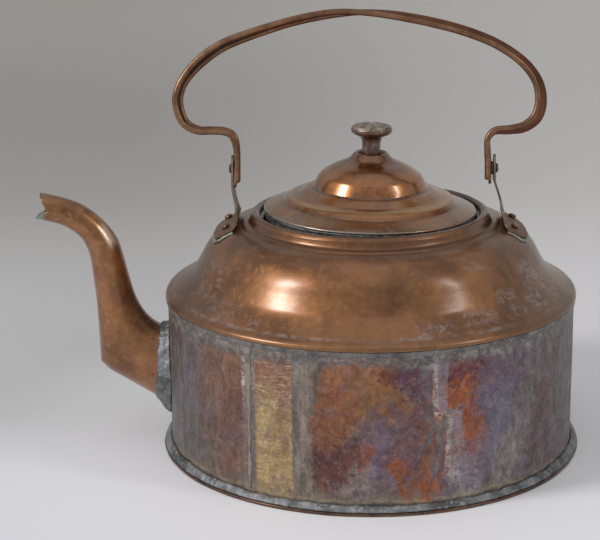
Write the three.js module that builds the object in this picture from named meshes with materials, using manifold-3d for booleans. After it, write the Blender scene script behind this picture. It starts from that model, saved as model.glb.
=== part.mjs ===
// Copper kettle with a hinged bail handle, a gooseneck spout and a lift-off lid.
// Units are millimetres and +Z is up. The origin is the centre of the underside of
// the base. The spout points along -X and the handle hinges about a line along X.
// Heights are measured from DATUM, a level a little above the underside of the base.

import * as THREE from 'three';
import { mergeVertices } from 'three/addons/utils/BufferGeometryUtils.js';
import Module from 'manifold-3d';

const wasm = await Module();
wasm.setup();

// ---------- driving dimensions ----------

const BASE_RADIUS = 148;          // rolled edge of the bottom plate
const WALL_RADIUS = 142.5;        // outside of the straight side wall
const DATUM = 2.3;                // level that all heights above the base plate start from
const WALL_TOP = 108.8;
const SHEET = 1.2;                // thickness of the copper sheet
const GAP = 0.3;                  // clearance kept between touching pieces
const ROUND = 32;                 // facets round the large turned pieces
const LID_ROUND = 24;
const KNOB_ROUND = 20;
const SMALL_ROUND = 12;           // facets round rivets and their holes

const MOUTH_RADIUS = 73.8;        // bore that the lid's skirt drops into
const LEDGE_HEIGHT = 161.8;       // ledge inside the mouth ring
const LIP_BOTTOM = 107.9;         // lower edge of the shoulder's turned-down lip

const LID_RADIUS = 74;
const LID_HEIGHT = 167;           // height of the lid's edge, where it tilts
const LID_TILT = 1.4;             // degrees, the spout side sits higher
const SKIRT_RADIUS = 72.2;

const PIVOT_HEIGHT = 195;         // height of the handle's hinge line
const HANDLE_LEAN = 13;           // degrees the handle leans back at rest
const STRAP_WIDTH = 18;           // handle strap at its widest
const STRAP_END_WIDTH = 13;
const STRAP_DEPTH = 4.2;          // depth of the strap's folded edges
const WEB = 1.3;                  // thickness of the strap between its folded edges
const LEFT_LEG = -92.2;           // middle of each of the handle's legs at the hinge line
const RIGHT_LEG = 81.7;
const RIVET_SHANK = 2.0;
const RIVET_HOLE = 2.16;          // its flats clear the shank by less than 0.1

const LUG_SHEET = 1.5;
const LUG_HALF_WIDTH = 6.5;
const LUG_TOP = 204.5;
const LEFT_LUG = -95.25;          // middle of each lug's upright where the handle hangs
const RIGHT_LUG = 86.15;
const LUG_FOLD = 159.6;           // height where an upright turns into its foot
const FOOT_HALF_WIDTH = 26;
const FOOT_OUTER_RADIUS = 107.5;
const FOOT_RIVET_RADIUS = 100;    // distance of the foot rivets from the kettle's axis
const FOOT_RIVET_SIDE = 14;       // and from the handle's plane

const degrees = (angle) => THREE.MathUtils.degToRad(angle);

// ---------- materials ----------

const metal = (color, roughness, metalness) =>
  new THREE.MeshStandardMaterial({ color, roughness, metalness });

const shoulderCopper = metal(0x8a5c3e, 0.35, 1);
const wallCopper = metal(0x7d5a48, 0.5, 1);
const lidCopper = metal(0x96653f, 0.32, 1);
const spoutCopper = metal(0x8f6444, 0.38, 1);
const handleCopper = metal(0x94664a, 0.35, 1);
const rivetCopper = metal(0x7a5038, 0.45, 1);
const tinned = metal(0x8d867e, 0.5, 1);
const solder = metal(0x9aa3a3, 0.55, 1);

// ---------- geometry helpers ----------

/** Turns a closed geometry into a solid that can be cut and joined. */
function solidOf(geometry) {
  const bare = geometry.clone();
  bare.deleteAttribute('normal');
  bare.deleteAttribute('uv');
  const merged = mergeVertices(bare, 1e-4);
  return new wasm.Manifold(new wasm.Mesh({
    numProp: 3,
    vertProperties: new Float32Array(merged.attributes.position.array),
    triVerts: new Uint32Array(merged.index.array),
  }));
}

/** Turns a solid back into a geometry. */
function geometryOf(solid) {
  const mesh = solid.getMesh();
  const geometry = new THREE.BufferGeometry();
  geometry.setAttribute('position', new THREE.BufferAttribute(mesh.vertProperties, 3));
  geometry.setIndex(new THREE.BufferAttribute(mesh.triVerts, 1));
  geometry.computeVertexNormals();
  return geometry;
}

/** Cuts each tool geometry out of a geometry. */
function cut(geometry, ...tools) {
  const start = solidOf(geometry);
  return geometryOf(tools.reduce((solid, tool) => solid.subtract(solidOf(tool)), start));
}

/** Revolves a profile of [radius, height] points about Z, outside going up. */
function revolve(profile, facets = ROUND) {
  const points = profile.map(([radius, height]) => new THREE.Vector2(radius, height));
  return new THREE.LatheGeometry(points, facets).rotateX(Math.PI / 2);
}

/** Revolves a profile that closes on itself. */
function revolveRing(profile, facets = ROUND) {
  return revolve([...profile, profile[0]], facets);
}

/** Rounds a list of [radius, height] points into a smooth line. */
function smooth(points, steps) {
  const curve = new THREE.SplineCurve(points.map(([x, y]) => new THREE.Vector2(x, y)));
  return curve.getPoints(steps).map((point) => [point.x, point.y]);
}

/** Moves a line sideways, to the left of its direction of travel. */
function offsetLine(line, distance) {
  return line.map(([x, y], i) => {
    const before = line[Math.max(i - 1, 0)];
    const after = line[Math.min(i + 1, line.length - 1)];
    const along = new THREE.Vector2(after[0] - before[0], after[1] - before[1]).normalize();
    return [x - along.y * distance, y + along.x * distance];
  });
}

/** Closed profile of a sheet whose outer face follows a line from rim to centre. */
function sheetProfile(outerLine, thickness) {
  return [...outerLine, ...offsetLine(outerLine, thickness).reverse()];
}

/** Skins a list of equal rings of points and closes both ends. */
function loft(rings) {
  const count = rings[0].length;
  const positions = rings.flat().flatMap((point) => [point.x, point.y, point.z]);
  const index = [];
  for (let ring = 0; ring < rings.length - 1; ring += 1) {
    for (let i = 0; i < count; i += 1) {
      const next = (i + 1) % count;
      const a = ring * count + i;
      const b = ring * count + next;
      index.push(a, b, b + count, a, b + count, a + count);
    }
  }
  const capStart = capTriangles(rings[0]);
  const capEnd = capTriangles(rings[rings.length - 1]);
  const last = (rings.length - 1) * count;
  capStart.forEach(([a, b, c]) => index.push(a, c, b));
  capEnd.forEach(([a, b, c]) => index.push(last + a, last + b, last + c));
  return geometryFrom(positions, index);
}

/** Splits one flat ring of points into triangles, turning the way the ring turns. */
function capTriangles(ring) {
  const origin = ring[0];
  const across = new THREE.Vector3();
  const normal = new THREE.Vector3();
  ring.forEach((point, i) => {
    const next = ring[(i + 1) % ring.length];
    normal.add(across.crossVectors(point.clone().sub(origin), next.clone().sub(origin)));
  });
  normal.normalize();
  const right = ring[Math.floor(ring.length / 2)].clone().sub(origin).normalize();
  const up = new THREE.Vector3().crossVectors(normal, right);
  const flat = ring.map((point) => {
    const offset = point.clone().sub(origin);
    return new THREE.Vector2(offset.dot(right), offset.dot(up));
  });
  return THREE.ShapeUtils.triangulateShape(flat, []);
}

/** Builds a geometry from plain positions and an index, turned so it faces out. */
function geometryFrom(positions, index) {
  const geometry = new THREE.BufferGeometry();
  geometry.setAttribute('position', new THREE.Float32BufferAttribute(positions, 3));
  geometry.setIndex(signedVolume(positions, index) > 0 ? index : flipped(index));
  geometry.computeVertexNormals();
  return geometry;
}

function flipped(index) {
  const turned = [];
  for (let i = 0; i < index.length; i += 3) turned.push(index[i], index[i + 2], index[i + 1]);
  return turned;
}

function signedVolume(positions, index) {
  const corner = (i) => new THREE.Vector3().fromArray(positions, index[i] * 3);
  let volume = 0;
  for (let i = 0; i < index.length; i += 3) {
    volume += corner(i).dot(corner(i + 1).cross(corner(i + 2)));
  }
  return volume;
}

/** Makes a sheet from rows of { upper, lower } points, closed round its four edges. */
function sheetSolid(rows) {
  const across = rows[0].length;
  const points = [];
  rows.forEach((row) => row.forEach(({ upper }) => points.push(upper)));
  rows.forEach((row) => row.forEach(({ lower }) => points.push(lower)));
  const positions = points.flatMap((point) => [point.x, point.y, point.z]);
  const under = rows.length * across;
  const at = (row, column) => row * across + column;
  const index = [];
  const quad = (a, b, c, d) => index.push(a, b, c, a, c, d);
  for (let row = 0; row < rows.length - 1; row += 1) {
    for (let column = 0; column < across - 1; column += 1) {
      const [a, b] = [at(row, column), at(row, column + 1)];
      const [c, d] = [at(row + 1, column + 1), at(row + 1, column)];
      quad(a, b, c, d);
      quad(under + d, under + c, under + b, under + a);
    }
    const [left, leftNext] = [at(row, 0), at(row + 1, 0)];
    const [right, rightNext] = [at(row, across - 1), at(row + 1, across - 1)];
    quad(left, leftNext, under + leftNext, under + left);
    quad(rightNext, right, under + right, under + rightNext);
  }
  for (let column = 0; column < across - 1; column += 1) {
    const [a, b] = [at(0, column), at(0, column + 1)];
    const [c, d] = [at(rows.length - 1, column), at(rows.length - 1, column + 1)];
    quad(b, a, under + a, under + b);
    quad(c, d, under + d, under + c);
  }
  return geometryFrom(positions, index);
}

/** A cylinder that runs from start to end. */
function rodBetween(start, end, radius, facets = SMALL_ROUND) {
  const along = end.clone().sub(start);
  const turn = new THREE.Quaternion().setFromUnitVectors(
    new THREE.Vector3(0, 1, 0), along.clone().normalize());
  const middle = start.clone().add(end).multiplyScalar(0.5);
  return new THREE.CylinderGeometry(radius, radius, along.length(), facets)
    .applyQuaternion(turn)
    .translate(middle.x, middle.y, middle.z);
}

/** A disc about the kettle's axis, as wide as the wall, that trims what meets the wall. */
function wallTrim() {
  const [bottom, top] = [-10, 140];
  return revolve([[0, bottom], [WALL_RADIUS + GAP, bottom], [WALL_RADIUS + GAP, top], [0, top]],
    ROUND * 2);
}

const kettle = new THREE.Group();

function add(parent, name, geometry, material) {
  const mesh = new THREE.Mesh(geometry, material);
  mesh.name = name;
  parent.add(mesh);
  return mesh;
}

// ---------- bottom plate and side wall ----------

function basePlate() {
  const rollHeight = 2.2;
  return revolve([
    [0, 0],
    [BASE_RADIUS - 1.2, 0],
    [BASE_RADIUS - 0.3, 0.4],
    [BASE_RADIUS, rollHeight / 2],
    [BASE_RADIUS - 0.3, rollHeight - 0.4],
    [BASE_RADIUS - 1.2, rollHeight],
    [BASE_RADIUS - 2, 1.8],
    [BASE_RADIUS - 2.8, SHEET],
    [0, SHEET],
  ]);
}

/** The wall's outer face, which flares a little where it meets the bottom plate. */
const wallLine = [
  [WALL_RADIUS + 1.4, SHEET + GAP - DATUM],
  [WALL_RADIUS + 1.2, 2.9 - DATUM],
  [WALL_RADIUS + 0.6, 5 - DATUM],
  [WALL_RADIUS + 0.1, 8 - DATUM],
  [WALL_RADIUS, 14],
  [WALL_RADIUS, WALL_TOP],
];

function sideWall() {
  const shell = revolveRing(sheetProfile(wallLine, SHEET));
  const spoutHole = new THREE.CylinderGeometry(1, 1, 30, 32)
    .rotateZ(Math.PI / 2)
    .scale(1, 14, 20)
    .translate(-WALL_RADIUS, 0, 50);
  return cut(shell, spoutHole);
}

function baseSolder() {
  const foot = 2.5;
  return revolveRing([
    [WALL_RADIUS + 1.7, foot],
    [BASE_RADIUS - 0.6, foot],
    [BASE_RADIUS - 0.9, 3.5],
    [WALL_RADIUS + 3.2, 5.6],
    [WALL_RADIUS + 1.4, 7.2],
    [WALL_RADIUS + 0.7, 7.2],
  ]);
}

/** A raised line of solder down the wall's lap joint. */
function wallSeam() {
  const [inner, outer] = [WALL_RADIUS + GAP, WALL_RADIUS + 1];
  const [bottom, top] = [8.4 - DATUM, 103.6];
  const middle = degrees(-123.5);
  const spread = degrees(1.3);
  const outline = new THREE.Shape();
  outline.absarc(0, 0, outer, middle - spread, middle + spread, false);
  outline.absarc(0, 0, inner, middle + spread, middle - spread, true);
  return new THREE.ExtrudeGeometry(outline, {
    depth: top - bottom, bevelEnabled: false, curveSegments: 4, steps: 1,
  }).translate(0, 0, bottom);
}

add(kettle, 'base_plate', basePlate(), wallCopper);
add(kettle, 'base_seam_solder', baseSolder(), solder);

const vessel = new THREE.Group();
vessel.position.z = DATUM;
kettle.add(vessel);
add(vessel, 'side_wall', sideWall(), wallCopper);
add(vessel, 'wall_seam_solder', wallSeam(), solder);

// ---------- shoulder ----------

/** The ogee from the lip up to the foot of the mouth ring. */
const ogee = smooth([
  [144.0, 109.2], [143.3, 110.6], [141.4, 112], [137, 114.3], [130, 119.2], [124.8, 124],
  [121.4, 129], [118.3, 134.4], [114, 142], [108, 149], [101, 154], [94, 156.4], [90.2, 157.2],
], 13);

/** The stepped mouth ring, its ledge, and the edge turned down into the kettle. */
const mouthRing = [
  [88.4, 158.2], [85.2, 158.9], [83.9, 161], [83, 164], [79.6, 166.2], [77.2, 165.5],
  [76.4, LEDGE_HEIGHT], [MOUTH_RADIUS, LEDGE_HEIGHT - 0.4], [MOUTH_RADIUS, 152],
];

const shoulderLine = [[144.0, LIP_BOTTOM], ...ogee, ...mouthRing];

/** Height of the shoulder's outer face at a distance from the kettle's axis. */
function shoulderHeight(radius) {
  const after = ogee.findIndex(([r]) => r <= radius);
  const [[r0, z0], [r1, z1]] = [ogee[after - 1], ogee[after]];
  return THREE.MathUtils.lerp(z0, z1, (radius - r0) / (r1 - r0));
}

/** A point a given height off the shoulder's face, measured square to it. */
function offShoulder(x, y, height) {
  const radius = Math.hypot(x, y);
  const step = 0.5;
  const slope = (shoulderHeight(radius + step) - shoulderHeight(radius - step)) / (2 * step);
  const normal = new THREE.Vector3(-slope * (x / radius), -slope * (y / radius), 1).normalize();
  return new THREE.Vector3(x, y, shoulderHeight(radius)).addScaledVector(normal, height);
}

const footRivets = [-1, 1].flatMap((side) => [-1, 1].map((depth) => {
  const y = depth * FOOT_RIVET_SIDE;
  const x = side * Math.sqrt(FOOT_RIVET_RADIUS ** 2 - y ** 2);
  const seat = offShoulder(x, y, 0);
  const normal = offShoulder(x, y, 1).sub(seat);
  const name = `${side < 0 ? 'left' : 'right'}_lug_rivet_${depth < 0 ? 'front' : 'back'}`;
  return { name, seat, normal };
}));

/** Clearance holes for the foot rivets. */
const footHoles = () => footRivets.map(({ seat, normal }) => rodBetween(
  seat.clone().addScaledVector(normal, -6), seat.clone().addScaledVector(normal, 6), RIVET_HOLE));

function shoulder() {
  return cut(revolveRing(sheetProfile(shoulderLine, SHEET)), ...footHoles());
}

function shoulderSolder() {
  const inner = WALL_RADIUS + GAP;
  return revolveRing([
    [inner, LIP_BOTTOM - 3.9], [inner + 0.4, LIP_BOTTOM - 3.6], [inner + 1.1, LIP_BOTTOM - 1.8],
    [inner + 1.2, LIP_BOTTOM - GAP], [inner, LIP_BOTTOM - GAP],
  ]);
}

add(vessel, 'shoulder', shoulder(), shoulderCopper);
add(vessel, 'shoulder_seam_solder', shoulderSolder(), solder);

// ---------- spout ----------

/**
 * Stations up the spout. Each has the point on its back and the point on its front,
 * as [x, z], and half its width across.
 */
const spoutStations = [
  [[-137, 79.6], [-137, 20.4], 22],
  [[-146, 79.7], [-150, 28.2], 21.5],
  [[-152.5, 82], [-163.4, 36.1], 20.5],
  [[-158.5, 87], [-175, 43], 19.5],
  [[-163, 93], [-186, 49.6], 18.5],
  [[-166, 99], [-192.6, 56], 17.5],
  [[-168, 104.5], [-192.8, 68], 16.4],
  [[-169.8, 111.5], [-193.2, 83], 15.2],
  [[-172, 120.5], [-193.9, 99], 14.1],
  [[-174.5, 131.5], [-195.3, 115], 13],
  [[-178, 143.5], [-197, 130.5], 12],
  [[-183.5, 152.5], [-199.6, 140], 11.2],
  [[-191.5, 161.3], [-204, 147.2], 10.5],
  [[-201.4, 168.6], [-210.6, 152.4], 10],
  [[-212.4, 173.2], [-217.7, 156], 9.8],
  [[-225.8, 176.7], [-227.5, 158.6], 10],
  [[-231.5, 177.6], [-234.6, 160], 10.4],
];

/** One oval ring of the spout, drawn in by an inset on all sides. */
function spoutRing([back, front, halfWidth], inset, facets = 16) {
  const middle = new THREE.Vector3((back[0] + front[0]) / 2, 0, (back[1] + front[1]) / 2);
  const toFront = new THREE.Vector3(front[0], 0, front[1]).sub(middle);
  const reach = toFront.length() - inset;
  toFront.normalize();
  return Array.from({ length: facets }, (_, i) => {
    const angle = (i / facets) * 2 * Math.PI;
    return middle.clone()
      .addScaledVector(toFront, Math.cos(angle) * reach)
      .add(new THREE.Vector3(0, Math.sin(angle) * (halfWidth - inset), 0));
  });
}

/** The bore's stations run a little past both ends, so that it cuts right through. */
function boreStations() {
  const shifted = ([back, front, halfWidth], dx, dz) =>
    [[back[0] + dx, back[1] + dz], [front[0] + dx, front[1] + dz], halfWidth];
  const first = shifted(spoutStations[0], 4, 0);
  const last = shifted(spoutStations[spoutStations.length - 1], -6, 1);
  return [first, ...spoutStations, last];
}

/** The wedge cut from the tip that leaves an upper and a lower lip. */
function tipNotch() {
  const outline = new THREE.Shape();
  outline.moveTo(-225, 166.5);
  outline.lineTo(-240, 158.5);
  outline.lineTo(-240, 192);
  outline.lineTo(-232.3, 180);
  const depth = 40;
  return new THREE.ExtrudeGeometry(outline, { depth, bevelEnabled: false })
    .translate(0, 0, -depth / 2)
    .rotateX(Math.PI / 2);
}

function spout() {
  const skin = loft(spoutStations.map((station) => spoutRing(station, 0)));
  const bore = loft(boreStations().map((station) => spoutRing(station, SHEET)));
  return cut(skin, bore, wallTrim(), tipNotch());
}

/** The ring of solder that holds the spout to the wall. */
function spoutSolder() {
  const collar = loft([
    [[-137, 83], [-137, 15], 26],
    [[-144.5, 81.8], [-147, 22.4], 24],
    [[-148.5, 81.7], [-153, 28.6], 22.6],
  ].map((station) => spoutRing(station, 0, 20)));
  const spoutBody = loft(spoutStations.slice(0, 4).map((station) => spoutRing(station, -GAP)));
  return cut(collar, spoutBody, wallTrim());
}

add(vessel, 'spout', spout(), spoutCopper);
add(vessel, 'spout_solder', spoutSolder(), solder);

// ---------- lugs ----------

/** Where the middle of each lug's upright sheet runs, as [x, z] from top to bottom. */
const lugUprights = {
  left: [
    [LEFT_LUG, LUG_TOP], [LEFT_LUG, 181], [-94.2, 175], [-92.9, 168], [-92.3, 162.5],
    [-92.4, LUG_FOLD],
  ],
  right: [
    [RIGHT_LUG, LUG_TOP], [RIGHT_LUG, 186.5], [89.3, 176.5], [91.6, 168.5], [92.6, 163],
    [93, LUG_FOLD],
  ],
};

/** Half the width of the upright at a height: a round top, a plain strap, a flared foot. */
function uprightHalfWidth(height) {
  const roundCentre = LUG_TOP - LUG_HALF_WIDTH;
  if (height > roundCentre) {
    return Math.max(Math.sqrt(LUG_HALF_WIDTH ** 2 - (height - roundCentre) ** 2), 1.2);
  }
  const flareTop = 176;
  const flareHeight = flareTop - LUG_FOLD;
  const flare = THREE.MathUtils.clamp((flareTop - height) / flareHeight, 0, 1);
  return LUG_HALF_WIDTH + (FOOT_HALF_WIDTH - LUG_HALF_WIDTH) * flare ** 2.4;
}

/** Spots across a lug from its front edge to its back edge. */
const lugColumns = Array.from({ length: 7 }, (_, i) => i / 3 - 1);

/** Rows of the upright, with the sheet's two faces on either side of its middle. */
function uprightRows(line, side) {
  const heights = [
    LUG_TOP, LUG_TOP - 0.9, LUG_TOP - 3, 198, 186.5, 181, 176, 172, 168, 165, 162.5, LUG_FOLD + 1,
  ];
  return heights.map((height) => {
    const below = line.findIndex(([, z]) => z <= height);
    const [[x0, z0], [x1, z1]] = [line[Math.max(below - 1, 0)], line[Math.max(below, 1)]];
    const x = THREE.MathUtils.lerp(x0, x1, (height - z0) / (z1 - z0));
    const outward = new THREE.Vector3(side * (z0 - z1), 0, side * (x1 - x0)).normalize();
    return lugColumns.map((column) => {
      const middle = new THREE.Vector3(x, column * uprightHalfWidth(height), height);
      return {
        upper: middle.clone().addScaledVector(outward, LUG_SHEET / 2),
        lower: middle.clone().addScaledVector(outward, -LUG_SHEET / 2),
      };
    });
  });
}

/** Rows of the foot, which lies on the shoulder and turns from a straight fold to an arc. */
function footRows(side) {
  const rows = [[95.2, 0, 26], [98, 0.35, 26], [101, 0.65, 26], [104.5, 1, 25.4],
    [106.6, 1, 24], [FOOT_OUTER_RADIUS, 1, 21.5]];
  return rows.map(([reach, bend, halfWidth]) => lugColumns.map((column) => {
    const y = column * halfWidth;
    const arc = Math.sqrt(reach ** 2 - y ** 2);
    const x = side * THREE.MathUtils.lerp(reach, arc, bend);
    return {
      upper: offShoulder(x, y, GAP + 0.1 + LUG_SHEET),
      lower: offShoulder(x, y, GAP + 0.1),
    };
  }));
}

function lug(name, side) {
  const rows = [...uprightRows(lugUprights[name], side), ...footRows(side)];
  const pivot = new THREE.Vector3(side * 90, 0, PIVOT_HEIGHT);
  const across = new THREE.Vector3(12, 0, 0);
  const pivotHole = rodBetween(pivot.clone().sub(across), pivot.clone().add(across), RIVET_HOLE);
  return cut(sheetSolid(rows), pivotHole, ...footHoles());
}

/** The bead of solder run round the three open edges of a lug's foot. */
function lugSolder(side) {
  const [height, clear] = [1.2, 1.3];
  const edge = FOOT_HALF_WIDTH + clear;
  const outer = FOOT_OUTER_RADIUS + clear + 0.2;
  const along = [[94, -edge], [99, -edge], [103, -edge + 0.2], [105.2, -edge + 2.6]];
  const arc = [-20, -10, 0, 10, 20].map((y) => [Math.sqrt(outer ** 2 - y ** 2), y]);
  const back = along.map(([x, y]) => [x, -y]).reverse();
  const path = new THREE.CatmullRomCurve3([...along, ...arc, ...back]
    .map(([x, y]) => offShoulder(side * x, y, height)));
  const section = new THREE.Shape();
  section.absarc(0, 0, 0.75, 0, 2 * Math.PI, false);
  return new THREE.ExtrudeGeometry(section, {
    extrudePath: path, steps: 34, curveSegments: 3, bevelEnabled: false,
  });
}

for (const [name, side] of [['left', -1], ['right', 1]]) {
  add(vessel, `${name}_lug`, lug(name, side), tinned);
  add(vessel, `${name}_lug_solder`, lugSolder(side), solder);
}

// ---------- rivets ----------

/**
 * A rivet along +Z. The seat of its outer head is at height 0, and the seat of its
 * inner head is a grip below that.
 */
function rivet(grip, headRadius, headHeight, tailRadius) {
  const tailHeight = 1.3;
  return revolve([
    [0, -grip - tailHeight],
    [tailRadius * 0.7, -grip - tailHeight],
    [tailRadius, -grip - tailHeight * 0.4],
    [tailRadius, -grip],
    [RIVET_SHANK, -grip],
    [RIVET_SHANK, 0],
    [headRadius, 0],
    [headRadius, headHeight * 0.55],
    [headRadius * 0.75, headHeight * 0.9],
    [0, headHeight],
  ], SMALL_ROUND);
}

for (const { name, seat, normal } of footRivets) {
  const headSeat = GAP + 0.1 + LUG_SHEET + GAP;
  const grip = headSeat + SHEET + 3 * GAP;
  const mesh = add(vessel, name, rivet(grip, 2.8, 2.4, 3.2), rivetCopper);
  mesh.position.copy(seat).addScaledVector(normal, headSeat);
  mesh.quaternion.setFromUnitVectors(new THREE.Vector3(0, 0, 1), normal);
}

function pivotRivet(name, lugOuterFace, legMiddle, side) {
  const headSeat = lugOuterFace + side * GAP;
  const webInnerFace = legMiddle + side * (STRAP_DEPTH / 2 - WEB);
  const grip = Math.abs(headSeat - webInnerFace) + GAP;
  const mesh = add(vessel, name, rivet(grip, 3.2, 1.7, 3.1), rivetCopper);
  mesh.position.set(headSeat, 0, PIVOT_HEIGHT);
  mesh.rotation.y = side * Math.PI / 2;
}

pivotRivet('left_pivot_rivet', LEFT_LUG - LUG_SHEET / 2, LEFT_LEG, -1);
pivotRivet('right_pivot_rivet', RIGHT_LUG + LUG_SHEET / 2, RIGHT_LEG, 1);

/** The washer that fills the space between the right lug and the handle. */
function pivotWasher() {
  const inner = RIGHT_LEG + STRAP_DEPTH / 2 + GAP;
  const outer = RIGHT_LUG - LUG_SHEET / 2 - GAP;
  const thickness = outer - inner;
  return revolveRing([[RIVET_HOLE, 0], [4.6, 0], [4.6, thickness], [RIVET_HOLE, thickness]],
    SMALL_ROUND)
    .rotateY(Math.PI / 2)
    .translate(inner, 0, PIVOT_HEIGHT);
}

add(vessel, 'right_pivot_washer', pivotWasher(), tinned);

// ---------- handle ----------

/**
 * The handle's centre line from the left end to the right end, as
 * [x, height above the hinge line, strap width, twist in degrees].
 */
const handleLine = [
  [LEFT_LEG, -13, 8, 0],
  [LEFT_LEG, -11, 11.5, 0],
  [LEFT_LEG, -6, STRAP_END_WIDTH, 0],
  [LEFT_LEG, 0, STRAP_END_WIDTH, 0],
  [LEFT_LEG, 5.5, STRAP_END_WIDTH, 0],
  [LEFT_LEG - 0.2, 13, 13.5, 0],
  [LEFT_LEG - 1.4, 19.6, 14.5, -4],
  [-96.5, 24.2, 15, -8],
  [-102.4, 26.2, 16, -9],
  [-110, 26.5, 16.5, -9],
  [-120, 26.9, 17, -9],
  [-128.7, 32.2, STRAP_WIDTH, -9],
  [-132.8, 42.4, STRAP_WIDTH, -9],
  [-133.1, 50.8, STRAP_WIDTH, -9],
  [-129.3, 60.8, STRAP_WIDTH, -8],
  [-119, 73.2, STRAP_WIDTH, -12],
  [-103, 84.6, STRAP_WIDTH, -12],
  [-82, 93, STRAP_WIDTH, -9],
  [-54.3, 101.4, STRAP_WIDTH, -6],
  [-26.9, 106.6, STRAP_WIDTH, -4],
  [-3, 107.5, STRAP_WIDTH, 7],
  [25, 104.2, STRAP_WIDTH, 15],
  [56, 97.2, STRAP_WIDTH, 17],
  [83.5, 87.4, STRAP_WIDTH, 17],
  [103.9, 74.4, STRAP_WIDTH, 18],
  [114.9, 60.6, STRAP_WIDTH, 20],
  [118, 47, STRAP_WIDTH, 22],
  [115.3, 35.4, STRAP_WIDTH, 21],
  [107.2, 28.4, 17, 15],
  [97, 26.3, 16, 10],
  [86.4, 25.4, 15, 6],
  [81.5, 20, 14, 4],
  [RIGHT_LEG - 0.4, 13, 13.5, 1],
  [RIGHT_LEG, 5, STRAP_END_WIDTH, 0],
  [RIGHT_LEG, 0, STRAP_END_WIDTH, 0],
  [RIGHT_LEG, -6, STRAP_END_WIDTH, 0],
  [RIGHT_LEG, -9, 11.5, 0],
  [RIGHT_LEG, -11, 8, 0],
];

/** The strap's channel section as [across, outward] points. */
function strapSection(width, depth) {
  const [half, outer, web] = [width / 2, STRAP_DEPTH / 2, STRAP_DEPTH / 2 - WEB];
  const inner = outer - depth;
  const fold = 0.9;
  const lip = 1.5;
  return [
    [-half + fold, outer], [half - fold, outer], [half, outer - fold], [half, inner],
    [half - lip, inner], [half - lip, web], [-half + lip, web], [-half + lip, inner],
    [-half, inner], [-half, outer - fold],
  ];
}

function handleStrap() {
  const points = handleLine.map(([x, height]) => new THREE.Vector3(x, 0, height));
  const path = new THREE.CatmullRomCurve3(points, false, 'centripetal');
  const last = points.length - 1;
  const steps = 54;
  const rings = Array.from({ length: steps + 1 }, (_, step) => {
    const t = step / steps;
    const place = Math.min(Math.floor(t * last), last - 1);
    const part = t * last - place;
    const [, , width0, twist0] = handleLine[place];
    const [, , width1, twist1] = handleLine[place + 1];
    const width = THREE.MathUtils.lerp(width0, width1, part);
    const twist = degrees(THREE.MathUtils.lerp(twist0, twist1, part));
    const middle = path.getPoint(t);
    const along = path.getTangent(t);
    const outward = new THREE.Vector3(-along.z, 0, along.x);
    const front = new THREE.Vector3(0, -1, 0);
    const turnedOut = outward.clone().multiplyScalar(Math.cos(twist))
      .addScaledVector(front, Math.sin(twist));
    const turnedFront = front.clone().multiplyScalar(Math.cos(twist))
      .addScaledVector(outward, -Math.sin(twist));
    const tip = Math.min(t, 1 - t) * last;
    const depth = THREE.MathUtils.lerp(WEB + 0.1, STRAP_DEPTH,
      THREE.MathUtils.clamp((tip - 1) / 1.2, 0, 1));
    return strapSection(width, depth).map(([across, out]) => middle.clone()
      .addScaledVector(turnedFront, across)
      .addScaledVector(turnedOut, out));
  });
  const holeReach = new THREE.Vector3(8, 0, 0);
  const holes = [LEFT_LEG, RIGHT_LEG].map((x) => {
    const centre = new THREE.Vector3(x, 0, 0);
    return rodBetween(centre.clone().sub(holeReach), centre.clone().add(holeReach), RIVET_HOLE);
  });
  return cut(loft(rings), ...holes);
}

const handle = new THREE.Group();
handle.position.z = PIVOT_HEIGHT;
handle.rotation.x = degrees(-HANDLE_LEAN);
vessel.add(handle);
add(handle, 'handle_strap', handleStrap(), handleCopper);

// ---------- lid ----------

/** The lid's outer face from the edge of its flange in to the collar round the knob. */
const lidLine = [
  [LID_RADIUS, 166.6], [LID_RADIUS - 0.2, 167.5],
  [70, 168.9], [63.6, 171.2], [60.8, 172.3], [57.6, 175.3], [54.4, 176.8], [49.8, 177.7],
  [46.4, 179.8], [43.4, 181.6], [41, 181.9],
  ...smooth([[39.6, 182.8], [36.9, 188.4], [34.2, 191.9], [26.6, 196.8], [19.5, 200]], 5),
  [16, 201.6], [13.8, 203.4], [12.4, 205.4], [10.7, 206.9], [9.3, 205.6], [8.9, 203.2], [4.3, 203],
];

function lidCover() {
  return revolveRing(sheetProfile(lidLine, 1.1), LID_ROUND);
}

function lidSkirt() {
  const [bottom, top] = [152.5, 166.5];
  const inner = SKIRT_RADIUS - 1;
  return revolveRing([[inner, bottom], [SKIRT_RADIUS, bottom], [SKIRT_RADIUS, top], [inner, top]],
    LID_ROUND);
}

function lidSolder() {
  const inner = SKIRT_RADIUS + GAP;
  return revolveRing([
    [inner, 161], [73.1, 161.2], [73.3, 163.8], [73.9, 165.2], [73.8, 165.8], [inner, 166.2],
  ], LID_ROUND);
}

/** The knob: a peened tail, a shank through the lid, a waisted stem and a round cap. */
function lidKnob() {
  return revolve([
    [0, 197.6], [3.2, 197.6], [5.2, 198.5], [5.2, 199.3], [3.7, 199.4], [3.7, 203.3],
    [6.9, 203.3], [6.9, 205], [6.4, 208.5], [6.3, 211.5], [6.7, 214.6], [7.7, 217],
    [10.4, 218.6], [13.2, 219.9], [14.3, 221.4], [14.3, 223.2], [12.8, 225.3], [9, 226.5],
    [0, 227],
  ], KNOB_ROUND);
}

function knobWasher() {
  return revolveRing([[4, 199.7], [8.6, 199.7], [8.6, 200.8], [4, 200.8]], KNOB_ROUND);
}

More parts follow.
